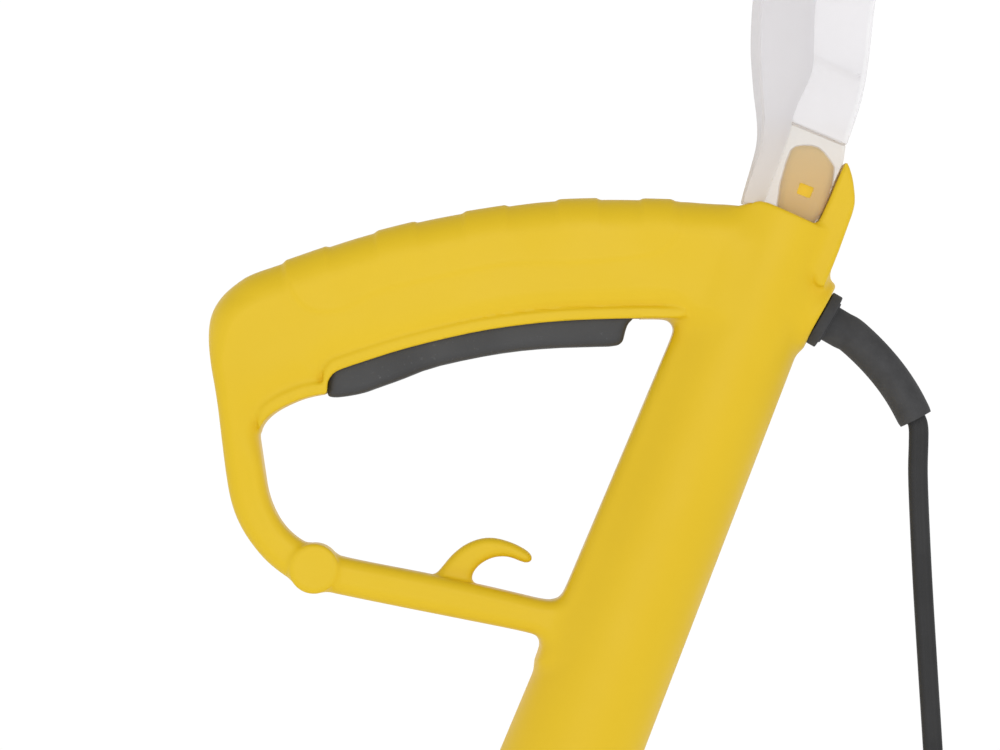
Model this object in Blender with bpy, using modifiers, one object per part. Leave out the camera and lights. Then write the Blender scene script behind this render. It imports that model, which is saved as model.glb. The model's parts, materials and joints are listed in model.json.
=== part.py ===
"""Corded string trimmer: closed-loop handle, inclined tube, motor housing, guard and cutting head.

World frame: the origin is on the ground under the cutting head's spin axis, +X runs towards the user,
+Z is up, and the casings split on the plane Y = 0. Lengths are written in millimetres and become metres
through MM.
"""

import math

import bmesh
import bpy
from mathutils import Matrix, Vector

MM = 0.001

# ---- driving dimensions (mm, degrees) -------------------------------------------------------------------
FIT_GAP = 0.3  # clearance between pieces that touch
WALL = 2.4  # casing wall

GRIP_X, GRIP_Z = 187.3, 800.0  # reference point of the handle's outlines, inside the hand opening

TUBE_LEAN = 22.46  # degrees from vertical
TUBE_FOOT_X, TUBE_FOOT_Z = 11.0, 190.0  # the tube's axis passes here, just above the motor
TUBE_TOP = 716.0  # distances along the tube from its foot
TUBE_SPLIT = 400.0
TUBE_HALF_WIDTH_TOP, TUBE_HALF_WIDTH_FOOT = 20.5, 27.1
TUBE_HALF_DEPTH_TOP, TUBE_HALF_DEPTH_FOOT = 18.8, 23.0

LOOP_HALF_DEPTH = 12.0
GRIP_HALF_DEPTH = 17.0
TRIGGER_HALF_DEPTH = 13.8
TRIGGER_PIVOT = (-49.0, 11.0)

HOUSING_RADIUS = 41.0
HOUSING_FLOOR = 50.3
SHAFT_RADIUS = 4.0
ARMATURE_RADIUS = 20.0
DRUM_RADIUS = 46.0
LINE_REACH = 124.0
LINE_HEIGHT = 30.0
GUARD_RADIUS = 131.0
GUARD_SPREAD = 190.0

CORD_RADIUS = 3.1
EXIT_DROP = 30.0  # the cord boss points this far below horizontal
BOSS_FACE = (106.1, 19.5)

# ---- collections and materials ---------------------------------------------------------------------------
for old in list(bpy.data.objects):
    bpy.data.objects.remove(old, do_unlink=True)

parts = bpy.data.collections.new("string_trimmer")
cutters = bpy.data.collections.new("cutters")
for collection in (parts, cutters):
    bpy.context.scene.collection.children.link(collection)


def material(name, colour, roughness, metallic=0.0, alpha=1.0):
    made = bpy.data.materials.new(name)
    made.use_nodes = True
    shader = made.node_tree.nodes["Principled BSDF"]
    shader.inputs["Base Color"].default_value = (*colour, 1.0)
    shader.inputs["Roughness"].default_value = roughness
    shader.inputs["Metallic"].default_value = metallic
    shader.inputs["Alpha"].default_value = alpha
    return made


yellow = material("yellow_plastic", (0.78, 0.55, 0.05), 0.45)
charcoal = material("charcoal_plastic", (0.06, 0.06, 0.06), 0.5)
black = material("black_plastic", (0.02, 0.02, 0.02), 0.45)
rubber = material("black_rubber", (0.04, 0.04, 0.04), 0.7)
natural = material("natural_plastic", (0.82, 0.82, 0.84), 0.35, alpha=0.6)
steel = material("steel", (0.6, 0.6, 0.62), 0.3, 1.0)
laminations = material("laminations", (0.3, 0.3, 0.32), 0.45, 1.0)
copper = material("copper", (0.72, 0.33, 0.14), 0.35, 1.0)
brass = material("brass", (0.75, 0.58, 0.25), 0.3, 1.0)
carbon = material("carbon", (0.05, 0.05, 0.05), 0.6)
nylon_line = material("nylon_line", (0.8, 0.25, 0.05), 0.35)


# ---- building blocks -------------------------------------------------------------------------------------
def guide(name, place=(0, 0, 0), turn_y=0.0, parent=None):
    """An empty that carries pieces; the place is in mm."""
    made = bpy.data.objects.new(name, None)
    made.location = Vector(place) * MM
    made.rotation_euler = (0.0, math.radians(turn_y), 0.0)
    made.parent = parent
    cutters.objects.link(made)
    return made


def finish(obj, finish_material):
    """Makes an object one of the model's parts."""
    obj.data.materials.clear()
    obj.data.materials.append(finish_material)
    if obj.type == "MESH":
        obj.data.shade_smooth()
        obj.data.set_sharp_from_angle(angle=math.radians(35))
    for home in list(obj.users_collection):
        home.objects.unlink(obj)
    parts.objects.link(obj)
    return obj


def new_object(name, mesh, place=(0, 0, 0), parent=None):
    made = bpy.data.objects.new(name, mesh)
    made.location = Vector(place) * MM
    made.parent = parent
    made.hide_render = True
    made.display_type = "WIRE"
    cutters.objects.link(made)
    return made


def show(obj, finish_material):
    obj.hide_render = False
    obj.display_type = "TEXTURED"
    return finish(obj, finish_material)


def mesh_from_bmesh(name, shape):
    bmesh.ops.recalc_face_normals(shape, faces=shape.faces)
    mesh = bpy.data.meshes.new(name)
    shape.to_mesh(mesh)
    shape.free()
    return mesh


def box(name, low, high, parent=None):
    shape = bmesh.new()
    bmesh.ops.create_cube(shape, size=1.0)
    low, high = Vector(low) * MM, Vector(high) * MM
    size = high - low
    middle = (high + low) / 2
    for vert in shape.verts:
        vert.co = Vector(middle[i] + vert.co[i] * size[i] for i in range(3))
    return new_object(name, mesh_from_bmesh(name, shape), parent=parent)


def rod(name, radius, start, end, sides=20, end_radius=None, squash_y=1.0, parent=None):
    """A cylinder or cone from start to end, its section squashed along Y when asked."""
    start, end = Vector(start) * MM, Vector(end) * MM
    along = end - start
    shape = bmesh.new()
    bmesh.ops.create_cone(
        shape,
        cap_ends=True,
        segments=sides,
        radius1=radius * MM,
        radius2=(radius if end_radius is None else end_radius) * MM,
        depth=along.length,
    )
    bmesh.ops.scale(shape, vec=(1.0, squash_y, 1.0), verts=shape.verts)
    turn = along.to_track_quat("Z", "Y").to_matrix().to_4x4()
    bmesh.ops.transform(shape, matrix=Matrix.Translation((start + end) / 2) @ turn, verts=shape.verts)
    return new_object(name, mesh_from_bmesh(name, shape), parent=parent)


def turned(name, profile, steps=24, angle=360.0, solid=True, parent=None, place=(0, 0, 0)):
    """Revolves (radius, height) points about Z; a solid profile ends on the axis, a ring's is closed."""
    mesh = bpy.data.meshes.new(name)
    points = [(r * MM, 0.0, z * MM) for r, z in profile]
    edges = [(i, i + 1) for i in range(len(points) - 1)]
    if not solid:
        edges.append((len(points) - 1, 0))
    mesh.from_pydata(points, edges, [])
    made = new_object(name, mesh, place, parent)
    screw = made.modifiers.new("turn", "SCREW")
    screw.angle = math.radians(angle)
    screw.steps = steps
    screw.render_steps = steps
    screw.use_merge_vertices = True
    screw.merge_threshold = 0.00001
    return made


def applied(obj):
    """Replaces an object by a mesh object of its evaluated shape, in the same place."""
    bpy.context.view_layer.update()
    evaluated = obj.evaluated_get(bpy.context.evaluated_depsgraph_get())
    mesh = bpy.data.meshes.new_from_object(evaluated)
    shape = bmesh.new()
    shape.from_mesh(mesh)
    bmesh.ops.remove_doubles(shape, verts=shape.verts, dist=0.00001)
    bmesh.ops.recalc_face_normals(shape, faces=shape.faces)
    shape.to_mesh(mesh)
    shape.free()
    name, matrix, parent = obj.name, obj.matrix_world.copy(), obj.parent
    bpy.data.objects.remove(obj, do_unlink=True)
    made = new_object(name, mesh)
    made.name = name
    made.parent = parent
    bpy.context.view_layer.update()
    made.matrix_world = matrix
    return made


def ring(name, outer, inner, low, high, steps=20, parent=None):
    profile = [(outer, high), (outer, low), (inner, low), (inner, high)]
    return turned(name, profile, steps, solid=False, parent=parent)


def plate(name, outlines, half, edge=0.0, parent=None):
    """An outline in the XZ plane, with any holes, made thick along Y from -half to +half."""
    curve = bpy.data.curves.new(name, "CURVE")
    curve.dimensions = "2D"
    curve.fill_mode = "BOTH"
    curve.extrude = (half - edge) * MM
    curve.bevel_depth = edge * MM
    curve.bevel_resolution = 0
    curve.offset = -edge * MM
    for points in outlines:
        spline = curve.splines.new("POLY")
        spline.points.add(len(points) - 1)
        for point, (x, z) in zip(spline.points, points):
            point.co = (x * MM, z * MM, 0.0, 1.0)
        spline.use_cyclic_u = True
    made = bpy.data.objects.new(name, curve)
    made.rotation_euler = (math.radians(90), 0.0, 0.0)
    made.parent = parent
    cutters.objects.link(made)
    return applied(made)


def wire(name, points, radius, resolution=2, parent=None, place=(0, 0, 0)):
    """A round wire or tube along the points."""
    curve = bpy.data.curves.new(name, "CURVE")
    curve.dimensions = "3D"
    curve.bevel_depth = radius * MM
    curve.bevel_resolution = resolution
    curve.use_fill_caps = True
    spline = curve.splines.new("POLY")
    spline.points.add(len(points) - 1)
    for point, where in zip(spline.points, points):
        point.co = (*(Vector(where) * MM), 1.0)
    return new_object(name, curve, place, parent)


def smooth_route(knots, per_span=3):
    """Points along a Catmull-Rom curve through the knots."""
    ends = [knots[0] * 2 - knots[1], *knots, knots[-1] * 2 - knots[-2]]
    points = []
    for a, b, c, d in zip(ends, ends[1:], ends[2:], ends[3:]):
        for step in range(per_span):
            t = step / per_span
            points.append(
                0.5 * (2 * b + (c - a) * t + (2 * a - 5 * b + 4 * c - d) * t**2 + (3 * b - a - 3 * c + d) * t**3)
            )
    return [*points, knots[-1]]


def helix(radius, low, high, turns, per_turn=8):
    """Points of a coil about Z, in mm."""
    count = int(turns * per_turn)
    for i in range(count + 1):
        angle = 2 * math.pi * i / per_turn
        height = low + (high - low) * i / count
        yield Vector((radius * math.cos(angle), radius * math.sin(angle), height))


def combine(obj, other, operation):
    change = obj.modifiers.new(operation.lower(), "BOOLEAN")
    change.operation = operation
    change.object = other
    change.solver = "EXACT"
    return obj


def cut(obj, *others):
    for other in others:
        combine(obj, other, "DIFFERENCE")
    return obj


def join(obj, *others):
    for other in others:
        combine(obj, other, "UNION")
    return obj


def inset(points, distance):
    """Moves a closed outline's corners inwards (anticlockwise outline) by a distance."""
    moved = []
    count = len(points)
    for i in range(count):
        before = Vector(points[i]) - Vector(points[i - 1])
        after = Vector(points[(i + 1) % count]) - Vector(points[i])
        before.normalize()
        after.normalize()
        normals = Vector((-before.y, before.x)) + Vector((-after.y, after.x))
        normals.normalize()
        lean = max(0.5, normals.dot(Vector((-before.y, before.x))))
        moved.append(tuple(Vector(points[i]) + normals * (distance / lean)))
    return moved


def arc(centre, radius, start, end, count):
    """Points of an arc, angles in degrees."""
    for i in range(count + 1):
        angle = math.radians(start + (end - start) * i / count)
        yield (centre[0] + radius * math.cos(angle), centre[1] + radius * math.sin(angle))


def screw_profile(length, head=3.4, shank=1.7, head_height=2.2):
    """A pan-head screw pointing down, its head's underside at height 0."""
    return [
        (0, head_height),
        (head * 0.7, head_height),
        (head, head_height * 0.5),
        (head, 0),
        (shank, 0),
        (shank, 1.5 - length),
        (0, -length),
    ]


def handle_point(u, w):
    """World X and Z (mm) of a point given about the handle's reference point."""
    return GRIP_X + u, GRIP_Z + w


def handle_outline(points):
    return [handle_point(u, w) for u, w in points]


def tube_half(s, top, foot):
    return foot + (top - foot) * s / TUBE_TOP


# ---- guides ----------------------------------------------------------------------------------------------
tube_axis = guide("tube_axis", (TUBE_FOOT_X, 0, TUBE_FOOT_Z), TUBE_LEAN)
spin_axis = guide("spin_axis")
exit_axis = guide("exit_axis", (GRIP_X + BOSS_FACE[0], 0, GRIP_Z + BOSS_FACE[1]), 90.0 + EXIT_DROP)


def tube_form(name, low, high, shrink, sides=32):
    """The tube's tapered oval body between two distances along it."""
    wide = tube_half(low, TUBE_HALF_WIDTH_TOP, TUBE_HALF_WIDTH_FOOT) - shrink
    narrow = tube_half(high, TUBE_HALF_WIDTH_TOP, TUBE_HALF_WIDTH_FOOT) - shrink
    deep = tube_half(low, TUBE_HALF_DEPTH_TOP, TUBE_HALF_DEPTH_FOOT) - shrink
    return rod(name, wide, (0, 0, low), (0, 0, high), sides, narrow, deep / wide, tube_axis)


# ---- casing outlines about the handle's reference point --------------------------------------------------
OUTER_TOP = [
    (88, 40), (78.3, 56.8), (58.7, 57.6), (34.3, 58.2), (16, 57.7), (4, 56.1), (-13.3, 53.5), (-26.1, 51),
    (-43, 46.7), (-55.3, 43), (-73.3, 36.5), (-83, 33.3), (-87.6, 30.1), (-92.3, 25.9), (-95.7, 20.3),
    (-96.6, 14.4),
]
OUTER_FRONT = [
    (-96, 5), (-93.6, -8.1), (-92.1, -21.7), (-90.4, -35.9), (-88.4, -44), (-85, -51.8), (-79.9, -58.8),
    (-70.1, -67.4),
]
BAR_UNDERSIDE = [(-55.1, -72.5), (-33.3, -76.9), (11.7, -85.9), (14.3, -90), (13.4, -94), (36, -94)]
LOOP_SCREW = (-61.8, -64.3)
LOOP_OUTER = [*OUTER_TOP, *OUTER_FRONT, *BAR_UNDERSIDE]

SKIRT_LINE = [
    (-57.1, -1.8), (-54.9, 1), (-51.1, 2.5), (-43.5, 5), (-33.3, 8.3), (-6.7, 14.6), (5.2, 16.4),
    (17.1, 17.7), (29, 18.5), (43.9, 18.6),
]
OPENING_REAR = [(53.2, 18.6), (57.5, 17.6), (61.5, 14.7), (60.5, 11.7), (41, -34.7), (24.5, -73.5)]
BAR_TOP = [(20.6, -74.2), (17.8, -75), (7, -72.9), (-21.5, -66.7), (-49, -61.4), (-55.3, -59.9)]
OPENING_FRONT = [
    (-65.4, -56), (-70.1, -52.3), (-73.8, -47.2), (-77.1, -39.7), (-78.5, -30.8), (-79.7, -18.4), (-77, -14.9),
    (-73.6, -12.2), (-68.5, -9.4), (-58.1, -6.4),
]
OPENING = [*SKIRT_LINE, *OPENING_REAR, *BAR_TOP, *OPENING_FRONT]

GRIP_FORM = [
    (84, 30), (78.3, 56.8), (58.7, 57.6), (34.3, 58.2), (16, 57.7), (4, 56.1), (-13.3, 53.5), (-26.1, 51),
    (-43, 46.7), (-55.3, 43), (-73.3, 36.5), (-70, 12), (-58, -3), *SKIRT_LINE, (60, 18.6),
]
GRIP_CAVITY = [
    (76, 30), (76, 53), (45.7, 55), (16, 54.5), (4, 53), (-13, 50.3), (-26, 47.7), (-55, 39.5), (-66, 30),
    (-62, 20), (-57.4, 15), (-57.4, -12.4), (46, 11.6), (46, 21), (70, 21),
]
HOOK = [
    (-21.5, -70), (-21.5, -66.7), (-18.9, -63.7), (-16.2, -60.1), (-11.4, -56.3), (-6.7, -54.5), (-2.2, -54.2),
    (3.5, -55.7), (8.2, -58), (10.3, -59.8), (10.6, -61.3), (9.4, -62.5), (7, -62.2), (4, -60.8), (1.1, -60.3),
    (-2.5, -60.7), (-6.7, -62.8), (-9, -65.5), (-9.7, -67.9), (-8.5, -72),
]
TONGUE = [(91.7, 50), (91.7, 60.2), (97.8, 76), (106.2, 76), (112.4, 68.8), (106, 48)]
TONGUE_BACK = [(104.5, 45), (106.6, 52.3), (114.2, 70.6), (116.2, 68.3), (117.9, 59), (115.4, 50), (110, 34)]
TONGUE_HALF_DEPTH = 10.0
HOOK_HALF_DEPTH = 5.0

TRIGGER = [
    (-56.4, -6.9), (-45.6, -6.2), (-40.5, -4.3), (-33.3, -1.8), (-23.5, 2.2), (-9.1, 5.5), (4, 7.7), (17.1, 8.9),
    (37.3, 9.3), (40.4, 10.6), (41.5, 14.2), (44.4, 18.6), (44, 23.5), (30, 26), (-40, 19.5), (-53.5, 16),
    (-56.4, 4),
]

# ---- screws: place along the casing and half depth of the casing there -----------------------------------
HANDLE_SCREWS = [
    (*handle_point(*LOOP_SCREW), LOOP_HALF_DEPTH),
    (*handle_point(-80, 21), LOOP_HALF_DEPTH),
    (*handle_point(70.5, 48.4), GRIP_HALF_DEPTH),
    (*handle_point(27, -84), 14.8),
]
SCREW_REACH = 8.0  # the screws' tips stop this far past the parting plane
BOSS_RADIUS = 4.6


def tube_point(s, across):
    """World X and Z (mm) of a point s along the tube and a distance across it."""
    lean = math.radians(TUBE_LEAN)
    x = TUBE_FOOT_X + s * math.sin(lean) + across * math.cos(lean)
    z = TUBE_FOOT_Z + s * math.cos(lean) - across * math.sin(lean)
    return x, z


TUBE_SCREW_ACROSS = -9.0
HANDLE_SCREWS.append((*tube_point(450, TUBE_SCREW_ACROSS), 18.4))
HOUSING_SCREWS = [
    (*tube_point(350, TUBE_SCREW_ACROSS), 19.0),
    (*tube_point(80, TUBE_SCREW_ACROSS), 20.5),
    (-46.0, 64.0, 10.0),
    (46.0, 64.0, 10.0),
]


def joined_mesh(name, objects):
    """One mesh object out of several that don't touch."""
    shape = bmesh.new()
    for obj in objects:
        mesh = applied(obj)
        moved = mesh.data.copy()
        moved.transform(mesh.matrix_world)
        shape.from_mesh(moved)
        bpy.data.objects.remove(mesh, do_unlink=True)
    return new_object(name, mesh_from_bmesh(name, shape))


def casing_screws(name, screws):
    """The bosses and the stepped holes of a row of screws whose heads sit in the +Y half."""
    bosses = []
    holes = []
    for i, (x, z, half) in enumerate(screws):
        bosses.append(rod(f"{name}_boss_{i}", BOSS_RADIUS, (x, 1 - half, z), (x, half - 1, z), 16))
        profile = [
            (0, half + 5), (4.0, half + 5), (4.0, half - 4), (2.0, half - 4), (2.0, -SCREW_REACH - 1),
            (0, -SCREW_REACH - 1),
        ]
        hole = turned(f"{name}_hole_{i}", profile, 10)
        hole.rotation_euler = (math.radians(-90), 0.0, 0.0)
        hole.location = Vector((x, 0, z)) * MM
        holes.append(hole)
    return joined_mesh(f"{name}_bosses", bosses), joined_mesh(f"{name}_holes", holes)


def place_screws(name, screws):
    for i, (x, z, half) in enumerate(screws):
        length = half - 4 - FIT_GAP + SCREW_REACH
        made = turned(f"{name}_{i + 1}", screw_profile(length), 8)
        made.rotation_euler = (math.radians(-90), 0.0, 0.0)
        made.location = Vector((x, half - 4 + FIT_GAP, z)) * MM
        show(made, steel)


halves = {
    "left": box("left_half", (-200, -80, 30), (400, -FIT_GAP / 2, 1100)),
    "right": box("right_half", (-200, FIT_GAP / 2, 30), (400, 80, 1100)),
}


# ---- handle casing ---------------------------------------------------------------------------------------
def handle_casing():
    loop = plate("loop_form", [handle_outline(LOOP_OUTER), handle_outline(OPENING[::-1])], LOOP_HALF_DEPTH, 3.0)
    grip = plate("grip_form", [inset(handle_outline(GRIP_FORM), -0.4)], GRIP_HALF_DEPTH, 3.5)
    tube = tube_form("upper_tube_form", TUBE_SPLIT + FIT_GAP, TUBE_TOP, 0)
    x, z = handle_point(*LOOP_SCREW)
    corner_half = LOOP_HALF_DEPTH + 0.8
    corner = rod("corner_form", 8.3, (x, -corner_half, z), (x, corner_half, z), 24)
    hook = plate("hook_form", [handle_outline(HOOK)], HOOK_HALF_DEPTH, 0.8)
    cord_boss = rod("cord_boss_form", 12.2, (0, 0, -24), (0, 0, 0), 24, parent=exit_axis)
    tongue = plate("tongue_form", [handle_outline(TONGUE)], TONGUE_HALF_DEPTH)
    tongue_back = plate("tongue_back_form", [handle_outline(TONGUE_BACK)], TONGUE_HALF_DEPTH + 3)
    additions = [grip, tube, corner, hook, cord_boss, tongue, tongue_back]

    outer_wall = inset(handle_outline(LOOP_OUTER), WALL)
    inner_wall = inset(handle_outline(OPENING), WALL)
    loop_hollow = plate("loop_hollow", [outer_wall, inner_wall], LOOP_HALF_DEPTH - WALL)
    grip_hollow = plate("grip_hollow", [handle_outline(GRIP_CAVITY)], GRIP_HALF_DEPTH - WALL)
    tube_hollow = tube_form("upper_tube_hollow", TUBE_SPLIT - 5, TUBE_TOP - 4, 2.6)
    neck_hollow = rod("neck_hollow", 6.2, (0, 0, -30), (0, 0, 5), 20, parent=exit_axis)
    flange_room = rod("flange_room", 9.9, (0, 0, -0.1), (0, 0, 9), 24, parent=exit_axis)
    x, z = handle_point(*TRIGGER_PIVOT)
    pivot_hollow = rod("pivot_hollow", 2.4, (x, -16.2, z), (x, 16.2, z), 16)
    hollows = [loop_hollow, grip_hollow, tube_hollow, neck_hollow, flange_room, pivot_hollow]

    bosses, holes = casing_screws("handle_screws", HANDLE_SCREWS)
    for side, half in halves.items():
        shell = new_object(f"handle_shell_{side}", loop.data.copy())
        shell.matrix_world = loop.matrix_world
        join(shell, *additions)
        cut(shell, *hollows)
        join(shell, bosses)
        cut(shell, holes)
        combine(shell, half, "INTERSECT")
        show(shell, yellow)
    place_screws("handle_screw", HANDLE_SCREWS)


# ---- tube and motor housing casing -----------------------------------------------------------------------
def lower_casing():
    outside = [
        (0, 206), (14, 204), (26, 194), (35, 176), (39.5, 150), (HOUSING_RADIUS, 112),
        (HOUSING_RADIUS, HOUSING_FLOOR), (0, HOUSING_FLOOR),
    ]
    inside = [(0, 200), (12, 199), (23, 190), (31.5, 173), (36.6, 148), (38.4, 112), (38.4, 40), (0, 40)]
    tube = tube_form("lower_tube_form", -15, TUBE_SPLIT - FIT_GAP, 0)
    ears = [rod(f"ear_form_{i}", 6.5, (x, -half, z), (x, half, z), 20)
            for i, (x, z, half) in enumerate(HOUSING_SCREWS[2:])]
    lugs = [box(f"lug_form_{i}", (min(0, x), -half, z - 6), (max(0, x), half, z + 6))
            for i, (x, z, half) in enumerate(HOUSING_SCREWS[2:])]
    housing_hollow = turned("housing_hollow", inside, 28)
    tube_hollow = tube_form("lower_tube_hollow", 5, TUBE_SPLIT + 5, 2.6)
    vents = [
        box(f"vent_{i}", (-2.0, -60, 70), (2.0, 60, 86)) for i in range(5)
    ]
    for i, vent in enumerate(vents):
        vent.rotation_euler = (0, 0, math.radians(17 * (i - 2)))
    bosses, holes = casing_screws("housing_screws", HOUSING_SCREWS)
    for side, half in halves.items():
        shell = turned(f"lower_shell_{side}", outside, 28)
        join(shell, tube, *ears, *lugs)
        cut(shell, housing_hollow, tube_hollow, *vents)
        join(shell, bosses)
        cut(shell, holes)
        combine(shell, half, "INTERSECT")
        show(shell, yellow)
    place_screws("housing_screw", HOUSING_SCREWS)

    sleeve = rod("joint_sleeve", 20.0, (0, 0, TUBE_SPLIT - 28), (0, 0, TUBE_SPLIT + 28), 32, None, 0.86, tube_axis)
    bore = rod("sleeve_bore", 17.8, (0, 0, TUBE_SPLIT - 35), (0, 0, TUBE_SPLIT + 35), 32, None, 0.84, tube_axis)
    cut(sleeve, bore)
    show(sleeve, black)


# ---- forearm rest ----------------------------------------------------------------------------------------
REST_LEFT = [(85.4, 62), (86.6, 78), (86.4, 90), (84.3, 103), (84.4, 116.7), (85.4, 140), (88, 165), (93, 186)]
REST_RIDGE = [(89.5, 62), (93.6, 76), (98.0, 88), (103.2, 101), (104.8, 116), (108, 140), (113, 165), (119, 186)]
REST_RIGHT = [(113.5, 64), (115.6, 76.6), (119, 88.4), (122.7, 102), (124.4, 116), (128, 140), (134, 165), (142, 186)]
REST_THICK = 2.2


def forearm_rest():
    """A flared trough above the tube, open towards the front, on a socket that slips over the tongue."""
    shape = bmesh.new()
    rows = []
    for i, (left, ridge, right) in enumerate(zip(REST_LEFT, REST_RIDGE, REST_RIGHT)):
        spread = 14 + 24 * min(1.0, i / 4)
        half = [(right, 0), (right, 9), ((ridge[0], ridge[1]), 15 + i * 0.6), (left, spread)]
        ring_points = [(p, -y) for p, y in half[:0:-1]] + half
        rows.append([shape.verts.new((handle_point(*p)[0] * MM, y * MM, handle_point(*p)[1] * MM))
                     for p, y in ring_points])
    for low, high in zip(rows, rows[1:]):
        for a, b, c, d in zip(low, low[1:], high[1:], high):
            shape.faces.new((a, b, c, d))
    trough = new_object("forearm_rest", mesh_from_bmesh("forearm_rest", shape))
    thick = trough.modifiers.new("thickness", "SOLIDIFY")
    thick.thickness = REST_THICK * MM
    thick.offset = 0.0
    socket_outline = [(87.5, 60.5), (97.1, 84.1), (115.3, 76.5), (113.6, 70.9), (105.4, 53.0)]
    socket = plate("socket_form", [handle_outline(socket_outline)], TONGUE_HALF_DEPTH + 2.6)
    socket_hollow = plate(
        "socket_hollow", [inset(handle_outline(TONGUE[::-1]), -FIT_GAP)], TONGUE_HALF_DEPTH + FIT_GAP
    )
    back_hollow = plate(
        "back_hollow", [inset(handle_outline(TONGUE_BACK[::-1]), -FIT_GAP)], TONGUE_HALF_DEPTH + 3 + FIT_GAP
    )
    tube_room = tube_form("tube_room", TUBE_TOP - 60, TUBE_TOP + FIT_GAP, -FIT_GAP)
    join(trough, socket)
    cut(trough, socket_hollow, back_hollow, tube_room)
    show(trough, natural)


# ---- trigger and switch ----------------------------------------------------------------------------------
def trigger_group():
    x, z = handle_point(*TRIGGER_PIVOT)
    pivot = guide("trigger_pivot", (x, 0, z))
    outline = [(u - TRIGGER_PIVOT[0], w - TRIGGER_PIVOT[1]) for u, w in TRIGGER]
    trigger = plate("trigger", [outline], TRIGGER_HALF_DEPTH, 1.6, parent=pivot)
    stub = rod("trigger_stub", 2.0, (0, -15.8, 0), (0, 15.8, 0), 16, parent=pivot)
    join(trigger, stub)
    show(trigger, charcoal)

    low, high = handle_point(-26, 30), handle_point(6, 45.5)
    switch = box("switch_body", (low[0], -8, low[1]), (high[0], 8, high[1]))
    x, _ = handle_point(-8, 0)
    z = GRIP_Z + 23.3
    plunger_room = rod("plunger_room", 2.9, (x, 0, z), (x, 0, GRIP_Z + 38), 16)
    cut(switch, plunger_room)
    show(switch, black)
    plunger_axis = guide("plunger_axis", (x, 0, z))
    plunger = rod("switch_plunger", 2.5, (0, 0, 0), (0, 0, 9.5), 16, parent=plunger_axis)
    show(plunger, charcoal)

    x, z = handle_point(25, 0)
    spring = wire("trigger_spring", list(helix(4.0, 26.6, 53.8, 5, 6)), 0.5, 1, place=(x, 0, z))
    show(spring, steel)

    low, high = handle_point(48, 35), handle_point(65, 35)
    capacitor = rod("capacitor", 6.5, (low[0], 0, low[1]), (high[0], 0, high[1]), 20)
    show(capacitor, charcoal)


# ---- cord, its boot, its clamp and its plug --------------------------------------------------------------
BOOT_ROUTE = [(110, 17.2), (113.8, 15), (117.3, 13), (124, 6.7), (130, -0.3), (134.7, -7.3), (138.2, -13.9)]
CORD_ROUTE = [
    (138.4, -14.3), (139.7, -17.6), (140.5, -24), (140.6, -36), (140.6, -48.7), (141.3, -72.3), (142.9, -104),
    (144.3, -125), (146.0, -155), (147.2, -185), (147.8, -215), (148.0, -245), (148.0, -275), (148.0, -305),
    (148.0, -333),
]


def route(points):
    return [Vector((handle_point(u, w)[0], 0.0, handle_point(u, w)[1])) for u, w in points]


def cord_group():
    boot = turned("cord_boot", [
        (0, 6), (8.6, 6), (9.5, 5), (9.5, 1.4), (8.6, FIT_GAP), (5.8, FIT_GAP), (5.8, -12), (0, -12),
    ], 24, parent=exit_axis)
    sleeve = wire("boot_sleeve", smooth_route(route(BOOT_ROUTE), 2), 6.1, 3)
    join(boot, applied(sleeve))
    show(boot, rubber)

    cord = wire("power_cord", smooth_route(route(CORD_ROUTE), 3), CORD_RADIUS, 2)
    show(cord, rubber)

    clamp = box("cord_clamp", (-6, -9, -24), (6, 9, -14), exit_axis)
    show(clamp, black)

    end_x, end_z = handle_point(*CORD_ROUTE[-1])
    plug_axis = guide("plug_axis", (end_x, 0, end_z - FIT_GAP))
    grip = turned("plug_body", [(0, 0), (4.6, 0), (5.6, -26), (13.0, -34), (13.0, -48), (0, -48)], 24,
                  parent=plug_axis)
    face_outline = [*arc((0, 0), 17.7, 48, 132, 7), *arc((0, 0), 17.7, 228, 312, 7)]
    shape = bmesh.new()
    lower = [shape.verts.new((x * MM, y * MM, -58 * MM)) for y, x in face_outline]
    upper = [shape.verts.new((x * MM, y * MM, -45 * MM)) for y, x in face_outline]
    shape.faces.new(lower)
    shape.faces.new(upper)
    for i in range(len(lower)):
        shape.faces.new((lower[i - 1], lower[i], upper[i], upper[i - 1]))
    face = new_object("plug_face_form", mesh_from_bmesh("plug_face_form", shape), parent=plug_axis)
    sockets = [rod(f"pin_room_{side}", 2.6, (x, 0, -50), (x, 0, -70), 16, parent=plug_axis)
               for side, x in (("a", -9.5), ("b", 9.5))]
    join(grip, face)
    cut(grip, *sockets)
    show(grip, black)
    for i, x in enumerate((-9.5, 9.5)):
        pin = turned(f"plug_pin_{i + 1}", [
            (0, -50.4), (2.2, -50.4), (2.2, -76), (1.3, -77.4), (0, -77.4),
        ], 16, parent=plug_axis)
        pin.location = Vector((x, 0, 0)) * MM
        show(pin, brass)

    lead_points = [Vector((7, 0, s)) for s in range(40, 641, 60)]
    lead = wire("motor_lead", lead_points, 2.2, 2, parent=tube_axis)
    show(lead, black)


# ---- motor: what stands still ----------------------------------------------------------------------------
CORE_LOW, CORE_HIGH = 92.0, 130.0


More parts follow.
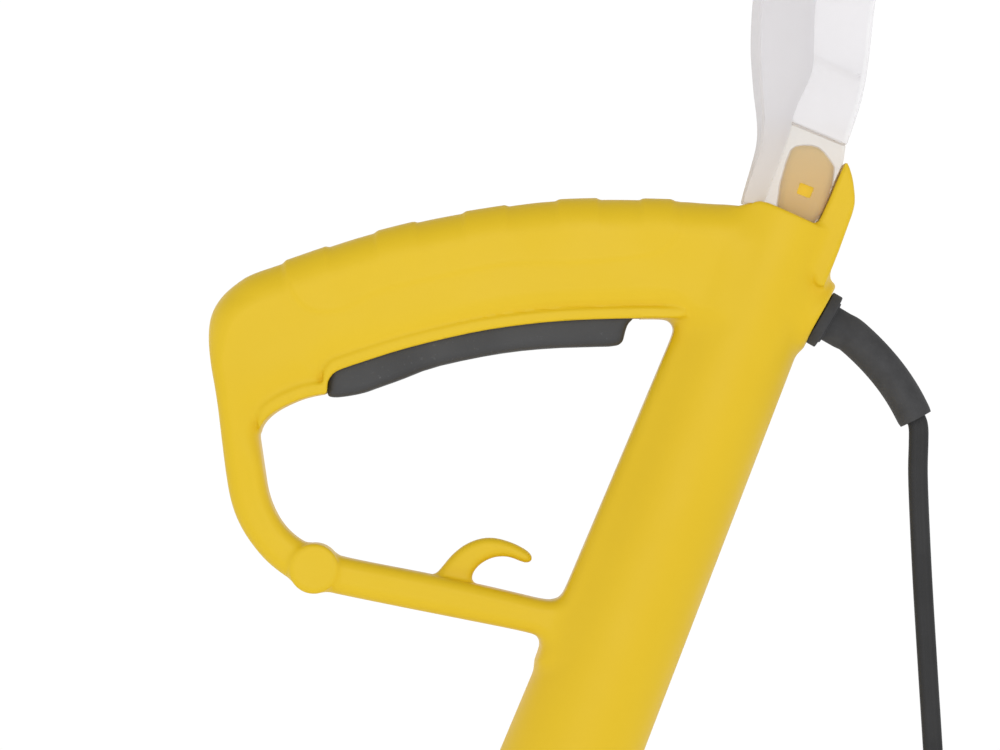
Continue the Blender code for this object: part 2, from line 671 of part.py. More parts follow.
def motor_frame():
    base = turned("motor_base", [
        (37.9, 54), (37.9, 51), (5.2, 51), (5.2, 55.5), (11.3, 55.5), (11.3, 63.5), (14, 63.5), (14, 54),
    ], 24, solid=False)
    bracket = turned("motor_top_bracket", [
        (30.5, 164.5), (30.5, 161), (5.2, 161), (5.2, 165.6), (9.3, 165.6), (9.3, 172.5), (12, 172.5),
        (12, 164.5),
    ], 24, solid=False)
    show(bracket, charcoal)
    show(ring("lower_bearing", 11.0, SHAFT_RADIUS + 0.15, 56, 63, 18), steel)
    show(ring("upper_bearing", 9.0, SHAFT_RADIUS + 0.15, 166, 172, 18), steel)

    stator = ring("stator_core", 36.0, 33.2, CORE_LOW, CORE_HIGH, 28)
    bore = rod("stator_bore", ARMATURE_RADIUS + 0.7, (0, 0, CORE_LOW - 5), (0, 0, CORE_HIGH + 5), 28)
    for side in (-1, 1):
        pole = box(f"pole_form_{side + 1}", (min(side * 10, side * 34.5), -12.5, CORE_LOW + 0.2),
                   (max(side * 10, side * 34.5), 12.5, CORE_HIGH - 0.2))
        cut(pole, bore)
        join(stator, pole)
        coil_route = [
            (24 * side, y, z) for y, z in
            [*arc((12, 129.5), 5, 0, 90, 3), *arc((-12, 129.5), 5, 90, 180, 3),
             *arc((-12, 92.5), 5, 180, 270, 3), *arc((12, 92.5), 5, 270, 360, 3)]
        ]
        coil = wire(f"field_coil_{(side + 3) // 2}", coil_route, 2.9, 2)
        coil.data.splines[0].use_cyclic_u = True
        show(coil, copper)

        name = (side + 3) // 2
        holder = box(f"brush_holder_{name}", (min(side * 12.5, side * 28), -5, 145),
                     (max(side * 12.5, side * 28), 5, 155))
        room = box(f"brush_room_{name}", (min(side * 10, side * 26), -3.3, 146.9),
                   (max(side * 10, side * 26), 3.3, 153.1))
        cut(holder, room)
        show(holder, brass)
        brush = box(f"brush_{name}", (min(side * 11.4, side * 20), -2.9, 147.3),
                    (max(side * 11.4, side * 20), 2.9, 152.7))
        show(brush, carbon)
        spring = wire(f"brush_spring_{name}", list(helix(2.0, 20.6, 25.5, 3, 6)), 0.35, 1)
        spring.rotation_euler = (0, math.radians(90 * side), 0)
        spring.location = Vector((0, 0, 150)) * MM
        show(spring, steel)
    show(stator, laminations)
    return base


# ---- motor and cutting head: what spins ------------------------------------------------------------------
SLOTS = 8


def rotor():
    clear = SHAFT_RADIUS + FIT_GAP
    shaft = turned("drive_shaft", [(0, 176), (SHAFT_RADIUS, 175.5), (SHAFT_RADIUS, 20), (0, 20)], 24,
                   parent=spin_axis)
    show(shaft, steel)

    core = ring("armature_core", ARMATURE_RADIUS, clear, CORE_LOW, CORE_HIGH, 28, parent=spin_axis)
    lower_end = ring("armature_winding", 17, clear, CORE_LOW - 8, CORE_LOW - FIT_GAP, 20, parent=spin_axis)
    upper_end = ring("upper_winding_form", 17, clear, CORE_HIGH + FIT_GAP, CORE_HIGH + 8, 20, parent=spin_axis)
    slots = []
    bars = []
    for i in range(SLOTS):
        turn = math.radians(360 * i / SLOTS + 22.5)
        slot = box(f"slot_form_{i}", (10.5, -3, CORE_LOW - 5), (22, 3, CORE_HIGH + 5))
        bar = box(f"bar_form_{i}", (11, -2.6, CORE_LOW - 2), (16.5, 2.6, CORE_HIGH + 2))
        for obj in (slot, bar):
            obj.rotation_euler = (0, 0, turn)
        slots.append(slot)
        bars.append(bar)
    cut(core, joined_mesh("slots", slots))
    show(core, laminations)
    join(lower_end, joined_mesh("bars", bars), upper_end)
    show(lower_end, copper)
    show(ring("commutator", 11.0, clear, 142, 158, 20, parent=spin_axis), copper)

    fan = ring("motor_fan", 34, clear, 66, 68, 24, parent=spin_axis)
    blades = []
    for i in range(SLOTS):
        blade = box(f"blade_form_{i}", (7, -1, 67), (33, 1, 79))
        blade.rotation_euler = (0, 0, math.radians(360 * i / SLOTS))
        blades.append(blade)
    hub = ring("fan_hub_form", 10, clear + 0.4, 67, 81, 24)
    join(fan, hub)
    for blade in blades:
        join(fan, blade)
    show(fan, black)

    drum = turned("spool_housing", [
        (43, 44), (DRUM_RADIUS, 41.5), (DRUM_RADIUS, 18.3), (43.5, 18.3), (43.5, 41), (9, 41), (9, 26), (clear, 26),
        (clear, 44),
    ], 28, solid=False, parent=spin_axis)
    eyelet_room = rod("eyelet_room", 3.3, (-60, 0, LINE_HEIGHT), (-40, 0, LINE_HEIGHT), 16)
    cut(drum, eyelet_room)
    show(drum, black)
    show(ring("shaft_nut", 7.6, 5.1, 20.5, 25.7, 6, parent=spin_axis), steel)
    cap = turned("spool_cap", [
        (DRUM_RADIUS, 18), (DRUM_RADIUS, 10), (43, 6.2), (18, 6.2), (18, 8.7), (43.3, 10.5), (43.3, 18),
    ], 28, solid=False, parent=spin_axis)
    show(cap, black)

    eyelet = turned("line_eyelet", [
        (4.6, -46.4), (4.6, -47.2), (1.3, -48.6), (1.3, -42), (3.0, -42), (3.0, -46.4),
    ], 10, solid=False, parent=spin_axis)
    eyelet.rotation_euler = (0, math.radians(90), 0)
    eyelet.location = Vector((0, 0, LINE_HEIGHT)) * MM
    show(eyelet, steel)
    line_route = [Vector((-x, 0, LINE_HEIGHT)) for x in (36, 48, 60, 75, 90, 107, LINE_REACH)]
    show(wire("cutting_line", line_route, 0.7, 1, parent=spin_axis), nylon_line)


def bump_head():
    knob = turned("bump_knob", [
        (0, 10), (14, 10), (14, 34), (17, 34), (17, 4), (14.5, 0.8), (13.5, 0), (0, 0),
    ], 32, parent=spin_axis)
    show(knob, charcoal)
    show(wire("bump_spring", list(helix(11.5, 10.9, 40.1, 4, 8)), 0.7, 1, parent=spin_axis), steel)
    spool = turned("line_spool", [
        (38, 36.5), (38, 34.5), (23, 34.5), (23, 17), (38, 17), (38, 15), (17.3, 15), (17.3, 36.5),
    ], 24, solid=False, parent=spin_axis)
    show(spool, charcoal)
    show(ring("line_coil", 34, 23.3, 17.3, 34.2, 24, parent=spin_axis), nylon_line)


# ---- guard -----------------------------------------------------------------------------------------------
def guard_group(base):
    brim = turned("guard", [
        (42, 48.4), (92, 49.5), (116, 46.5), (127, 40), (GUARD_RADIUS, 30), (GUARD_RADIUS + 2, 14),
    ], 24, GUARD_SPREAD)
    brim.rotation_euler = (0, 0, math.radians(-GUARD_SPREAD / 2))
    thick = brim.modifiers.new("thickness", "SOLIDIFY")
    thick.thickness = 2.6 * MM
    thick.offset = 0.0
    collar = ring("collar_form", 45, 8, 46.8, 50, 24)
    join(brim, collar)
    for i, y in enumerate((-25, 25)):
        room = rod(f"guard_screw_room_{i}", 2.2, (0, y, 40), (0, y, 60), 12)
        cut(brim, room)
        cut(base, room)
        screw = turned(f"guard_screw_{i + 1}", [
            (0, 57), (1.8, 56), (1.8, 46.5), (3.6, 46.5), (3.6, 44.6), (0, 44.4),
        ], 12)
        screw.location = Vector((0, y, 0)) * MM
        show(screw, steel)

    cutter_angle = -GUARD_SPREAD / 2
    blade = box("line_cutter", (126.4, -7, 17), (127.6, 9, 33))
    blade.rotation_euler = (0, 0, math.radians(cutter_angle))
    turn = math.radians(cutter_angle + 2.2)
    across = Vector((math.cos(turn), math.sin(turn), 0))
    lift = Vector((0, 0, 25))
    room = rod("cutter_screw_room", 1.9, across * 120 + lift, across * 140 + lift, 12)
    cut(blade, room)
    cut(brim, room)
    screw = turned("cutter_screw", screw_profile(8.5, 3.2, 1.6), 8)
    screw.rotation_euler = across.to_track_quat("Z", "Y").to_euler()
    screw.location = (across * 134 + lift) * MM
    show(screw, steel)
    show(blade, steel)
    show(brim, black)
    show(base, charcoal)


handle_casing()
lower_casing()
forearm_rest()
trigger_group()
cord_group()
guard_group(motor_frame())
rotor()
bump_head()
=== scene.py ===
import json
import math

import bmesh
import bpy
import numpy as np
from mathutils import Matrix, Vector
from mathutils.geometry import delaunay_2d_cdt


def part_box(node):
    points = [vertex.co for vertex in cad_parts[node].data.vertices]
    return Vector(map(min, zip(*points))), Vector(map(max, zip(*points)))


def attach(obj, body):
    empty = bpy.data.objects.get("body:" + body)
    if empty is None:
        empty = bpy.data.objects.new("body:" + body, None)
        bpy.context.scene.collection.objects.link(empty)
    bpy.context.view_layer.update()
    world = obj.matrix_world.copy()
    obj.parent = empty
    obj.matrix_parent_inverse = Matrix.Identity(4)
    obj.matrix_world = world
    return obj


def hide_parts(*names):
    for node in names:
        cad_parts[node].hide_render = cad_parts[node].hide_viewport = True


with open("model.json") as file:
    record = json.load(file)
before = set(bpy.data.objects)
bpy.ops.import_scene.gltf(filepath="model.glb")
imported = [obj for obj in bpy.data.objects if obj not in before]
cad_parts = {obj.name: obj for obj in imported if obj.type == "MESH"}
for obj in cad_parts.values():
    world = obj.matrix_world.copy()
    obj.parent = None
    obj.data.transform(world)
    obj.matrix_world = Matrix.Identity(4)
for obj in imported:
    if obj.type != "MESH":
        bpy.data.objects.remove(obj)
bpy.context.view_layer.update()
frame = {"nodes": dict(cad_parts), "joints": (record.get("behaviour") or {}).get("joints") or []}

# Lengths are in millimetres and become metres through MM. The handle's outlines are given about a reference
# point inside the hand opening, which the trigger's pivot fixes.
MM = 0.001
joints = {joint["name"]: joint for joint in frame["joints"]}
PIVOT_U, PIVOT_W = -49.0, 11.0
pivot_m = joints["trigger_squeeze"]["pos_m"]
GRIP_X = pivot_m[0] / MM - PIVOT_U
GRIP_Z = pivot_m[2] / MM - PIVOT_W

TUBE_LEAN = math.radians(21.9)
TUBE_FOOT_X, TUBE_FOOT_Z = 16.5, 190.0
TUBE_TOP, TUBE_SPLIT = 716.0, 400.0
TUBE_WIDTHS = (30.5, 19.3)  # half widths at the foot and at the top
TUBE_DEPTHS = (23.0, 18.8)
WALL = 2.4
PARTING = 0.12  # half the line between the two casings

VIEW_CENTRE_X, VIEW_CENTRE_Z = GRIP_X, GRIP_Z
CAMERA_DISTANCE = 2400.0
FRAME_WIDTH = 333.3  # width of the view at the object


# ---- camera ----------------------------------------------------------------------------------------------
def make_camera():
    data = bpy.data.cameras.new("camera")
    data.lens = 36.0 * CAMERA_DISTANCE / FRAME_WIDTH
    data.clip_start = 0.05
    data.clip_end = 50.0
    camera = bpy.data.objects.new("camera", data)
    camera.location = Vector((VIEW_CENTRE_X, -CAMERA_DISTANCE, VIEW_CENTRE_Z)) * MM
    camera.rotation_euler = (math.radians(90), 0, 0)
    bpy.context.scene.collection.objects.link(camera)
    bpy.context.scene.camera = camera


# ---- mesh helpers ----------------------------------------------------------------------------------------
def add_object(name, mesh, material):
    made = bpy.data.objects.new(name, mesh)
    bpy.context.scene.collection.objects.link(made)
    if not mesh.materials:
        mesh.materials.append(material)
    return made


def smooth(mesh, angle=40.0):
    mesh.shade_smooth()
    mesh.set_sharp_from_angle(angle=math.radians(angle))


def mesh_of(name, points, faces):
    """A mesh from points in mm and faces, with its normals turned outwards."""
    mesh = bpy.data.meshes.new(name)
    mesh.from_pydata([tuple(float(c) * MM for c in p) for p in points], [], faces)
    shape = bmesh.new()
    shape.from_mesh(mesh)
    bmesh.ops.remove_doubles(shape, verts=shape.verts, dist=1e-7)
    bmesh.ops.recalc_face_normals(shape, faces=shape.faces)
    shape.to_mesh(mesh)
    shape.free()
    return mesh


def chaikin(points, rounds=2, closed=True):
    """Rounds an outline's corners by cutting them, twice over by default."""
    points = [np.array(p, float) for p in points]
    for _ in range(rounds):
        cut = []
        last = len(points) if closed else len(points) - 1
        if not closed:
            cut.append(points[0])
        for i in range(last):
            a, b = points[i], points[(i + 1) % len(points)]
            cut.extend((0.75 * a + 0.25 * b, 0.25 * a + 0.75 * b))
        if not closed:
            cut.append(points[-1])
        points = cut
    return points


def catmull(knots, per_span=4):
    """Points along a Catmull-Rom curve through the knots."""
    knots = [np.array(k, float) for k in knots]
    ends = [knots[0] * 2 - knots[1], *knots, knots[-1] * 2 - knots[-2]]
    points = []
    for a, b, c, d in zip(ends, ends[1:], ends[2:], ends[3:]):
        for step in range(per_span):
            t = step / per_span
            bend = (2 * a - 5 * b + 4 * c - d) * t**2
            twist = (3 * b - a - 3 * c + d) * t**3
            points.append(0.5 * (2 * b + (c - a) * t + bend + twist))
    return [*points, knots[-1]]


def sweep(name, path, section, material):
    """A tube in the XZ plane: section(fraction, angle) gives its offsets in the plane and along Y, in mm."""
    path = [np.array(p, float) for p in path]
    sides = 36
    points = []
    for i, here in enumerate(path):
        along = path[min(i + 1, len(path) - 1)] - path[max(i - 1, 0)]
        along /= np.linalg.norm(along)
        across = np.array((along[1], -along[0]))
        for k in range(sides):
            in_plane, deep = section(i / (len(path) - 1), 2 * math.pi * k / sides)
            where = here + across * in_plane
            points.append((where[0], deep, where[1]))
    faces = []
    for i in range(len(path) - 1):
        for k in range(sides):
            a, b = i * sides + k, i * sides + (k + 1) % sides
            faces.append((a, b, b + sides, a + sides))
    faces.append(tuple(range(sides)))
    faces.append(tuple((len(path) - 1) * sides + k for k in range(sides)))
    mesh = mesh_of(name, points, faces)
    smooth(mesh, 50)
    return add_object(name, mesh, material)


def lathe(name, profile, material, steps=64, wave=None, angle=45.0):
    """Revolves a closed or axis-to-axis (radius, height) profile; wave(turn, r, z) may change the radius."""
    points = []
    faces = []
    count = len(profile)
    closed = profile[0][0] > 0.001
    for k in range(steps):
        turn = 2 * math.pi * k / steps
        for r, z in profile:
            far = r if wave is None else wave(turn, r, z)
            points.append((far * math.cos(turn), far * math.sin(turn), z))
    for k in range(steps):
        here, there = k * count, ((k + 1) % steps) * count
        for i in range(count if closed else count - 1):
            j = (i + 1) % count
            faces.append((here + i, there + i, there + j, here + j))
    mesh = bpy.data.meshes.new(name)
    mesh.from_pydata([tuple(float(c) * MM for c in p) for p in points], [], faces)
    shape = bmesh.new()
    shape.from_mesh(mesh)
    bmesh.ops.remove_doubles(shape, verts=shape.verts, dist=1e-7)
    bmesh.ops.dissolve_degenerate(shape, edges=shape.edges, dist=1e-8)
    bmesh.ops.recalc_face_normals(shape, faces=shape.faces)
    shape.to_mesh(mesh)
    shape.free()
    smooth(mesh, angle)
    return add_object(name, mesh, material)


def rounded_profile(corners, radius=0.8, steps=3, closed=True):
    """A lathe profile whose corners are rounded by small arcs."""
    points = []
    count = len(corners)
    for i, corner in enumerate(corners):
        if not closed and i in (0, count - 1):
            points.append(tuple(corner))
            continue
        here = np.array(corner, float)
        before = np.array(corners[i - 1], float) - here
        after = np.array(corners[(i + 1) % count], float) - here
        reach = min(radius, 0.45 * np.linalg.norm(before), 0.45 * np.linalg.norm(after))
        a = here + before / np.linalg.norm(before) * reach
        b = here + after / np.linalg.norm(after) * reach
        for step in range(steps + 1):
            t = step / steps
            points.append(tuple((1 - t) ** 2 * a + 2 * t * (1 - t) * here + t**2 * b))
    return points


def box_piece(name, low, high, material, bevel=0.4, turn=None):
    shape = bmesh.new()
    bmesh.ops.create_cube(shape, size=1.0)
    low, high = Vector(low), Vector(high)
    for vert in shape.verts:
        vert.co = Vector((high[i] + low[i]) / 2 + vert.co[i] * (high[i] - low[i]) for i in range(3)) * MM
    bmesh.ops.bevel(shape, geom=shape.edges, offset=bevel * MM, segments=3, affect="EDGES", profile=0.5)
    if turn is not None:
        bmesh.ops.transform(shape, matrix=turn, verts=shape.verts)
    mesh = bpy.data.meshes.new(name)
    shape.to_mesh(mesh)
    shape.free()
    smooth(mesh, 40)
    return add_object(name, mesh, material)


# ---- distance fields: negative inside, in mm -------------------------------------------------------------
class Outline:
    """The signed distance to a flat closed outline, kept on a fine grid."""

    STEP = 0.6
    MARGIN = 26.0

    def __init__(self, points):
        points = np.array(points, float)
        self.low = points.min(0) - self.MARGIN
        size = points.max(0) + self.MARGIN - self.low
        self.shape = np.ceil(size / self.STEP).astype(int) + 2
        grid = (self.low[i] + np.arange(self.shape[i]) * self.STEP for i in range(2))
        a, b = np.meshgrid(*grid, indexing="ij")
        nearest = np.full(a.shape, 1e9)
        inside = np.zeros(a.shape, bool)
        for start, end in zip(points, np.roll(points, -1, 0)):
            edge = end - start
            length = edge @ edge
            if length < 1e-12:
                continue
            pa, pb = a - start[0], b - start[1]
            t = np.clip((pa * edge[0] + pb * edge[1]) / length, 0, 1)
            nearest = np.minimum(nearest, (pa - t * edge[0]) ** 2 + (pb - t * edge[1]) ** 2)
            crosses = (start[1] > b) != (end[1] > b)
            if edge[1] != 0:
                inside ^= crosses & (a < start[0] + edge[0] * (b - start[1]) / edge[1])
        self.values = np.where(inside, -1, 1) * np.sqrt(nearest)

    def __call__(self, a, b):
        ga = np.clip((a - self.low[0]) / self.STEP, 0, self.shape[0] - 1.001)
        gb = np.clip((b - self.low[1]) / self.STEP, 0, self.shape[1] - 1.001)
        i, j = ga.astype(int), gb.astype(int)
        s, t = ga - i, gb - j
        v = self.values
        near = v[i, j] * (1 - s) + v[i + 1, j] * s
        far = v[i, j + 1] * (1 - s) + v[i + 1, j + 1] * s
        return near * (1 - t) + far * t


def thick(flat, y, half, radius):
    """A flat field made half thick each way along Y, with rounded edges."""
    p, q = flat + radius, np.abs(y) - half + radius
    return np.minimum(np.maximum(p, q), 0) + np.hypot(np.maximum(p, 0), np.maximum(q, 0)) - radius


def blend_union(a, b, width):
    h = np.maximum(width - np.abs(a - b), 0) / width
    return np.minimum(a, b) - h * h * width / 4


def blend_cut(a, b, width):
    """a without b, with a soft edge."""
    return -blend_union(-a, b, width)


def rise(distance, width):
    """1 inside an outline, 0 outside, with a smooth step of the given width at its edge."""
    t = np.clip(0.5 - distance / width, 0, 1)
    return t * t * (3 - 2 * t)


def tube_place(x, z):
    """How far along the tube and across it a point lies."""
    dx, dz = x - TUBE_FOOT_X, z - TUBE_FOOT_Z
    s, c = math.sin(TUBE_LEAN), math.cos(TUBE_LEAN)
    return dx * s + dz * c, dx * c - dz * s


def tube_field(x, y, z, shrink=0.0):
    along, across = tube_place(x, z)
    t = along / TUBE_TOP
    wide = TUBE_WIDTHS[0] + (TUBE_WIDTHS[1] - TUBE_WIDTHS[0]) * t - shrink
    deep = TUBE_DEPTHS[0] + (TUBE_DEPTHS[1] - TUBE_DEPTHS[0]) * t - shrink
    k0 = np.hypot(across / wide, y / deep)
    k1 = np.hypot(across / wide**2, y / deep**2) + 1e-9
    return k0 * (k0 - 1) / k1


EXIT_DROP = math.radians(30.0)
BOSS_FACE = np.array((GRIP_X + 106.1, GRIP_Z + 19.5))


def exit_place(x, z):
    """Distance out of the cord boss's face, and in-plane distance from its axis."""
    dx, dz = x - BOSS_FACE[0], z - BOSS_FACE[1]
    c, s = math.cos(EXIT_DROP), math.sin(EXIT_DROP)
    return dx * c - dz * s, dx * s + dz * c


def round_bar(along, radial, low, high, radius, edge):
    """A cylinder's field from how far along its axis and from its axis each point is."""
    p = radial - radius + edge
    q = np.maximum(low - along, along - high) + edge
    return np.minimum(np.maximum(p, q), 0) + np.hypot(np.maximum(p, 0), np.maximum(q, 0)) - edge


def surface_of(name, field, low, high, step, refine=3):
    """Meshes a field's zero surface: one point in each cell that it crosses, then moved onto the surface."""
    axes = [np.arange(low[i], high[i] + step, step) for i in range(3)]
    values = field(*np.meshgrid(*axes, indexing="ij", sparse=True))
    inside = values < 0
    count = np.zeros([n - 1 for n in inside.shape], np.int8)
    spans = (slice(None, -1), slice(1, None))
    for a in spans:
        for b in spans:
            for c in spans:
                count += inside[a, b, c]
    mixed = (count > 0) & (count < 8)
    cells = np.argwhere(mixed)
    index = np.full(mixed.shape, -1)
    index[mixed] = np.arange(len(cells))
    corners = np.array([(i, j, k) for i in (0, 1) for j in (0, 1) for k in (0, 1)])
    at = [values[tuple((cells + corner).T)] for corner in corners]
    total = np.zeros((len(cells), 3))
    found = np.zeros((len(cells), 1))
    for p in range(8):
        for q in range(p + 1, 8):
            if np.abs(corners[p] - corners[q]).sum() != 1:
                continue
            cross = (at[p] < 0) != (at[q] < 0)
            t = np.where(cross, at[p] / np.where(cross, at[p] - at[q], 1), 0)
            where = corners[p] + t[:, None] * (corners[q] - corners[p])
            total += np.where(cross[:, None], where, 0)
            found += cross[:, None]
    points = (cells + total / found) * step + np.array([axis[0] for axis in axes])
    quads = []
    rings = {
        0: ((0, -1, -1), (0, 0, -1), (0, 0, 0), (0, -1, 0)),
        1: ((-1, 0, -1), (-1, 0, 0), (0, 0, 0), (0, 0, -1)),
        2: ((-1, -1, 0), (0, -1, 0), (0, 0, 0), (-1, 0, 0)),
    }
    for axis, ring in rings.items():
        first = [slice(1, -1)] * 3
        second = [slice(1, -1)] * 3
        first[axis] = slice(0, -1)
        second[axis] = slice(1, None)
        here, there = inside[tuple(first)], inside[tuple(second)]
        for sign, order in ((here & ~there, ring), (~here & there, ring[::-1])):
            edges = np.argwhere(sign) + np.array([0 if i == axis else 1 for i in range(3)])
            quads.append(np.stack([index[tuple((edges + corner).T)] for corner in order], 1))
    quads = np.concatenate(quads)
    for _ in range(refine):
        offset = 0.05
        value = field(*points.T)
        slope = np.stack(
            [(field(*(points + np.eye(3)[i] * offset).T) - value) / offset for i in range(3)], 1
        )
        length = (slope**2).sum(1)
        move = np.clip(value / np.maximum(length, 0.05), -0.4 * step, 0.4 * step)
        points = points - slope * move[:, None]
    mesh = bpy.data.meshes.new(name)
    mesh.from_pydata((points * MM).tolist(), [], quads.tolist())
    return mesh


def keep_side(mesh, point, normal, field):
    """Cuts a mesh by a plane, keeps what lies behind it, and closes the cut where the field is solid."""
    shape = bmesh.new()
    shape.from_mesh(mesh)
    everything = [*shape.verts, *shape.edges, *shape.faces]
    point, normal = Vector(point) * MM, Vector(normal)
    cut = bmesh.ops.bisect_plane(shape, geom=everything, plane_co=point, plane_no=normal, clear_outer=True)
    edges = [item for item in cut["geom_cut"] if isinstance(item, bmesh.types.BMEdge)]
    verts = list({vert for edge in edges for vert in edge.verts})
    order = {vert: i for i, vert in enumerate(verts)}
    aside = normal.orthogonal().normalized()
    up = normal.cross(aside)
    flat = [Vector(((vert.co - point).dot(aside), (vert.co - point).dot(up))) / MM for vert in verts]
    pairs = [tuple(order[vert] for vert in edge.verts) for edge in edges]
    places, _, triangles, sources, _, _ = delaunay_2d_cdt(flat, pairs, [], 0, 1e-5)
    corners = [point / MM + aside * place[0] + up * place[1] for place in places]
    middles = np.array([sum((corners[i] for i in triangle), Vector()) / 3 for triangle in triangles])
    solid = field(*middles.T) < 0
    for triangle, keep in zip(triangles, solid):
        if keep and all(sources[i] for i in triangle):
            face = [verts[sources[i][0]] for i in triangle]
            if shape.faces.get(face) is None:
                shape.faces.new(face)
    bmesh.ops.recalc_face_normals(shape, faces=shape.faces)
    shape.to_mesh(mesh)
    shape.free()


def casing_half(name, field, low, high, step, side, planes, material):
    """The half of a casing on one side of Y = 0: side is -1 or 1."""
    deep = max(abs(low[1]), abs(high[1]))
    reach = 3.0 * step
    bottom = (low[0], -deep if side < 0 else -reach, low[2])
    top = (high[0], reach if side < 0 else deep, high[2])
    mesh = surface_of(name, field, bottom, top, step)
    for point, normal in [((0, side * PARTING, 0), (0, -side, 0)), *planes]:
        keep_side(mesh, point, normal, field)
    smooth(mesh, 42)
    return add_object(name, mesh, material)


# ---- materials -------------------------------------------------------------------------------------------
class Nodes:
    """A Principled material and short ways to feed it procedural detail."""

    def __init__(self, name, colour, roughness, metallic=0.0, **sockets):
        self.material = bpy.data.materials.new(name)
        self.material.use_nodes = True
        self.tree = self.material.node_tree
        self.shader = self.tree.nodes["Principled BSDF"]
        self.place = self.add("ShaderNodeTexCoord").outputs["Object"]
        self.shader.inputs["Base Color"].default_value = (*colour, 1)
        self.shader.inputs["Roughness"].default_value = roughness
        self.shader.inputs["Metallic"].default_value = metallic
        for socket, value in sockets.items():
            self.shader.inputs[socket.replace("_", " ")].default_value = value
        self.normal = None

    def add(self, kind, **values):
        node = self.tree.nodes.new(kind)
        for key, value in values.items():
            setattr(node, key, value)
        return node

    def link(self, a, b):
        self.tree.links.new(a, b)

    def noise(self, scale, detail=3.0, rough=0.5, stretch=None):
        node = self.add("ShaderNodeTexNoise")
        node.inputs["Scale"].default_value = scale
        node.inputs["Detail"].default_value = detail
        node.inputs["Roughness"].default_value = rough
        self.link(self.stretched(stretch), node.inputs["Vector"])
        return node.outputs["Fac"]

    def stretched(self, stretch):
        if stretch is None:
            return self.place
        mapping = self.add("ShaderNodeMapping")
        mapping.inputs["Scale"].default_value = stretch
        self.link(self.place, mapping.inputs["Vector"])
        return mapping.outputs["Vector"]

    def waves(self, scale, direction):
        node = self.add("ShaderNodeTexWave", wave_type="BANDS", bands_direction=direction)
        node.inputs["Scale"].default_value = scale
        self.link(self.place, node.inputs["Vector"])
        return node.outputs["Fac"]

    def height(self):
        parts = self.add("ShaderNodeSeparateXYZ")
        self.link(self.place, parts.inputs["Vector"])
        return parts.outputs["Z"]

    def ramp(self, value, low, high, out_low=0.0, out_high=1.0):
        node = self.add("ShaderNodeMapRange", clamp=True)
        for key, number in zip(("From Min", "From Max", "To Min", "To Max"), (low, high, out_low, out_high)):
            node.inputs[key].default_value = number
        self.link(value, node.inputs["Value"])
        return node.outputs["Result"]

    def colour(self, factor, first, second):
        """Mixes the base colour between two by a factor, on top of what is there already."""
        mix = self.add("ShaderNodeMix", data_type="RGBA")
        base = self.shader.inputs["Base Color"]
        if first is None and base.links:
            self.link(base.links[0].from_socket, mix.inputs[6])
        else:
            mix.inputs[6].default_value = (*(first or base.default_value[:3]), 1)
        mix.inputs[7].default_value = (*second, 1)
        self.link(factor, mix.inputs[0])
        self.link(mix.outputs[2], base)

    def roughness(self, factor, low, high):
        self.link(self.ramp(factor, 0.3, 0.7, low, high), self.shader.inputs["Roughness"])

    def bump(self, height, strength, distance_mm):
        node = self.add("ShaderNodeBump")
        node.inputs["Strength"].default_value = strength
        node.inputs["Distance"].default_value = distance_mm * MM
        self.link(height, node.inputs["Height"])
        if self.normal is not None:
            self.link(self.normal, node.inputs["Normal"])
        self.normal = node.outputs["Normal"]
        self.link(self.normal, self.shader.inputs["Normal"])


def yellow_plastic(name, colour, deeper):
    m = Nodes(name, colour, 0.42, Specular_IOR_Level=0.3)
    m.colour(m.ramp(m.noise(9, 4), 0.35, 0.65), colour, deeper)
    m.roughness(m.noise(40, 5), 0.36, 0.50)
    m.bump(m.noise(1500, 2, 0.6), 0.25, 0.05)
    m.bump(m.noise(22, 3), 0.35, 0.18)
    return m.material


def dark_plastic(name, colour, rough, speck=0.25, grain=0.06):
    m = Nodes(name, colour, rough, Specular_IOR_Level=0.35)
    light = tuple(min(1, c * 1.5 + 0.01) for c in colour)
    pale = tuple(min(1, c * 4 + 0.05) for c in colour)
    m.colour(m.ramp(m.noise(14, 4), 0.35, 0.7), colour, light)
    m.colour(m.ramp(m.noise(620, 4, 0.75), 0.62, 0.74, 0, speck), None, pale)
    m.roughness(m.noise(60, 5), rough - 0.07, rough + 0.09)
    m.bump(m.noise(1700, 2, 0.65), 0.4, grain)
    m.bump(m.noise(30, 3), 0.25, 0.12)
    return m.material


def rubber_like(name, colour, rough, dust=0.2):
    m = Nodes(name, colour, rough, Specular_IOR_Level=0.35)
    pale = tuple(c * 2.2 + 0.02 for c in colour)
    m.colour(m.ramp(m.noise(35, 5, 0.7), 0.45, 0.75, 0, dust * 2), colour, pale)
    m.colour(m.ramp(m.noise(900, 3, 0.8), 0.64, 0.76, 0, dust), None, (0.16, 0.16, 0.16))
    m.roughness(m.noise(80, 4), rough - 0.06, rough + 0.1)
    m.bump(m.noise(2200, 2, 0.7), 0.35, 0.05)
    return m.material


def natural_plastic(name, colour, glow_tint, alpha):
    """Cloudy unpigmented plastic, with a painted glow: tinted low down, where it nears the yellow casing, in
    place of yellow light scattered through it.
    """
    m = Nodes(name, colour, 0.34, Alpha=alpha, Specular_IOR_Level=0.4)
    # Painted glow: below a set height the colour turns to the yellowish tint, standing in for light from the
    # yellow parts shining through the plastic.
    m.colour(m.ramp(m.height(), 0.858, 0.886), glow_tint, colour)
    m.colour(m.ramp(m.noise(16, 4), 0.35, 0.7, 0, 0.4), None, tuple(c * 0.93 for c in colour))
    streaks = m.ramp(m.noise(70, 5, 0.7, (1, 1, 0.3)), 0.58, 0.75, 0, 0.3)
    m.colour(streaks, None, tuple(c * 1.07 for c in colour))
    m.roughness(m.noise(45, 4), 0.28, 0.42)
    m.bump(m.noise(900, 2, 0.6), 0.2, 0.05)
    m.bump(m.noise(18, 3), 0.4, 0.3)
    return m.material


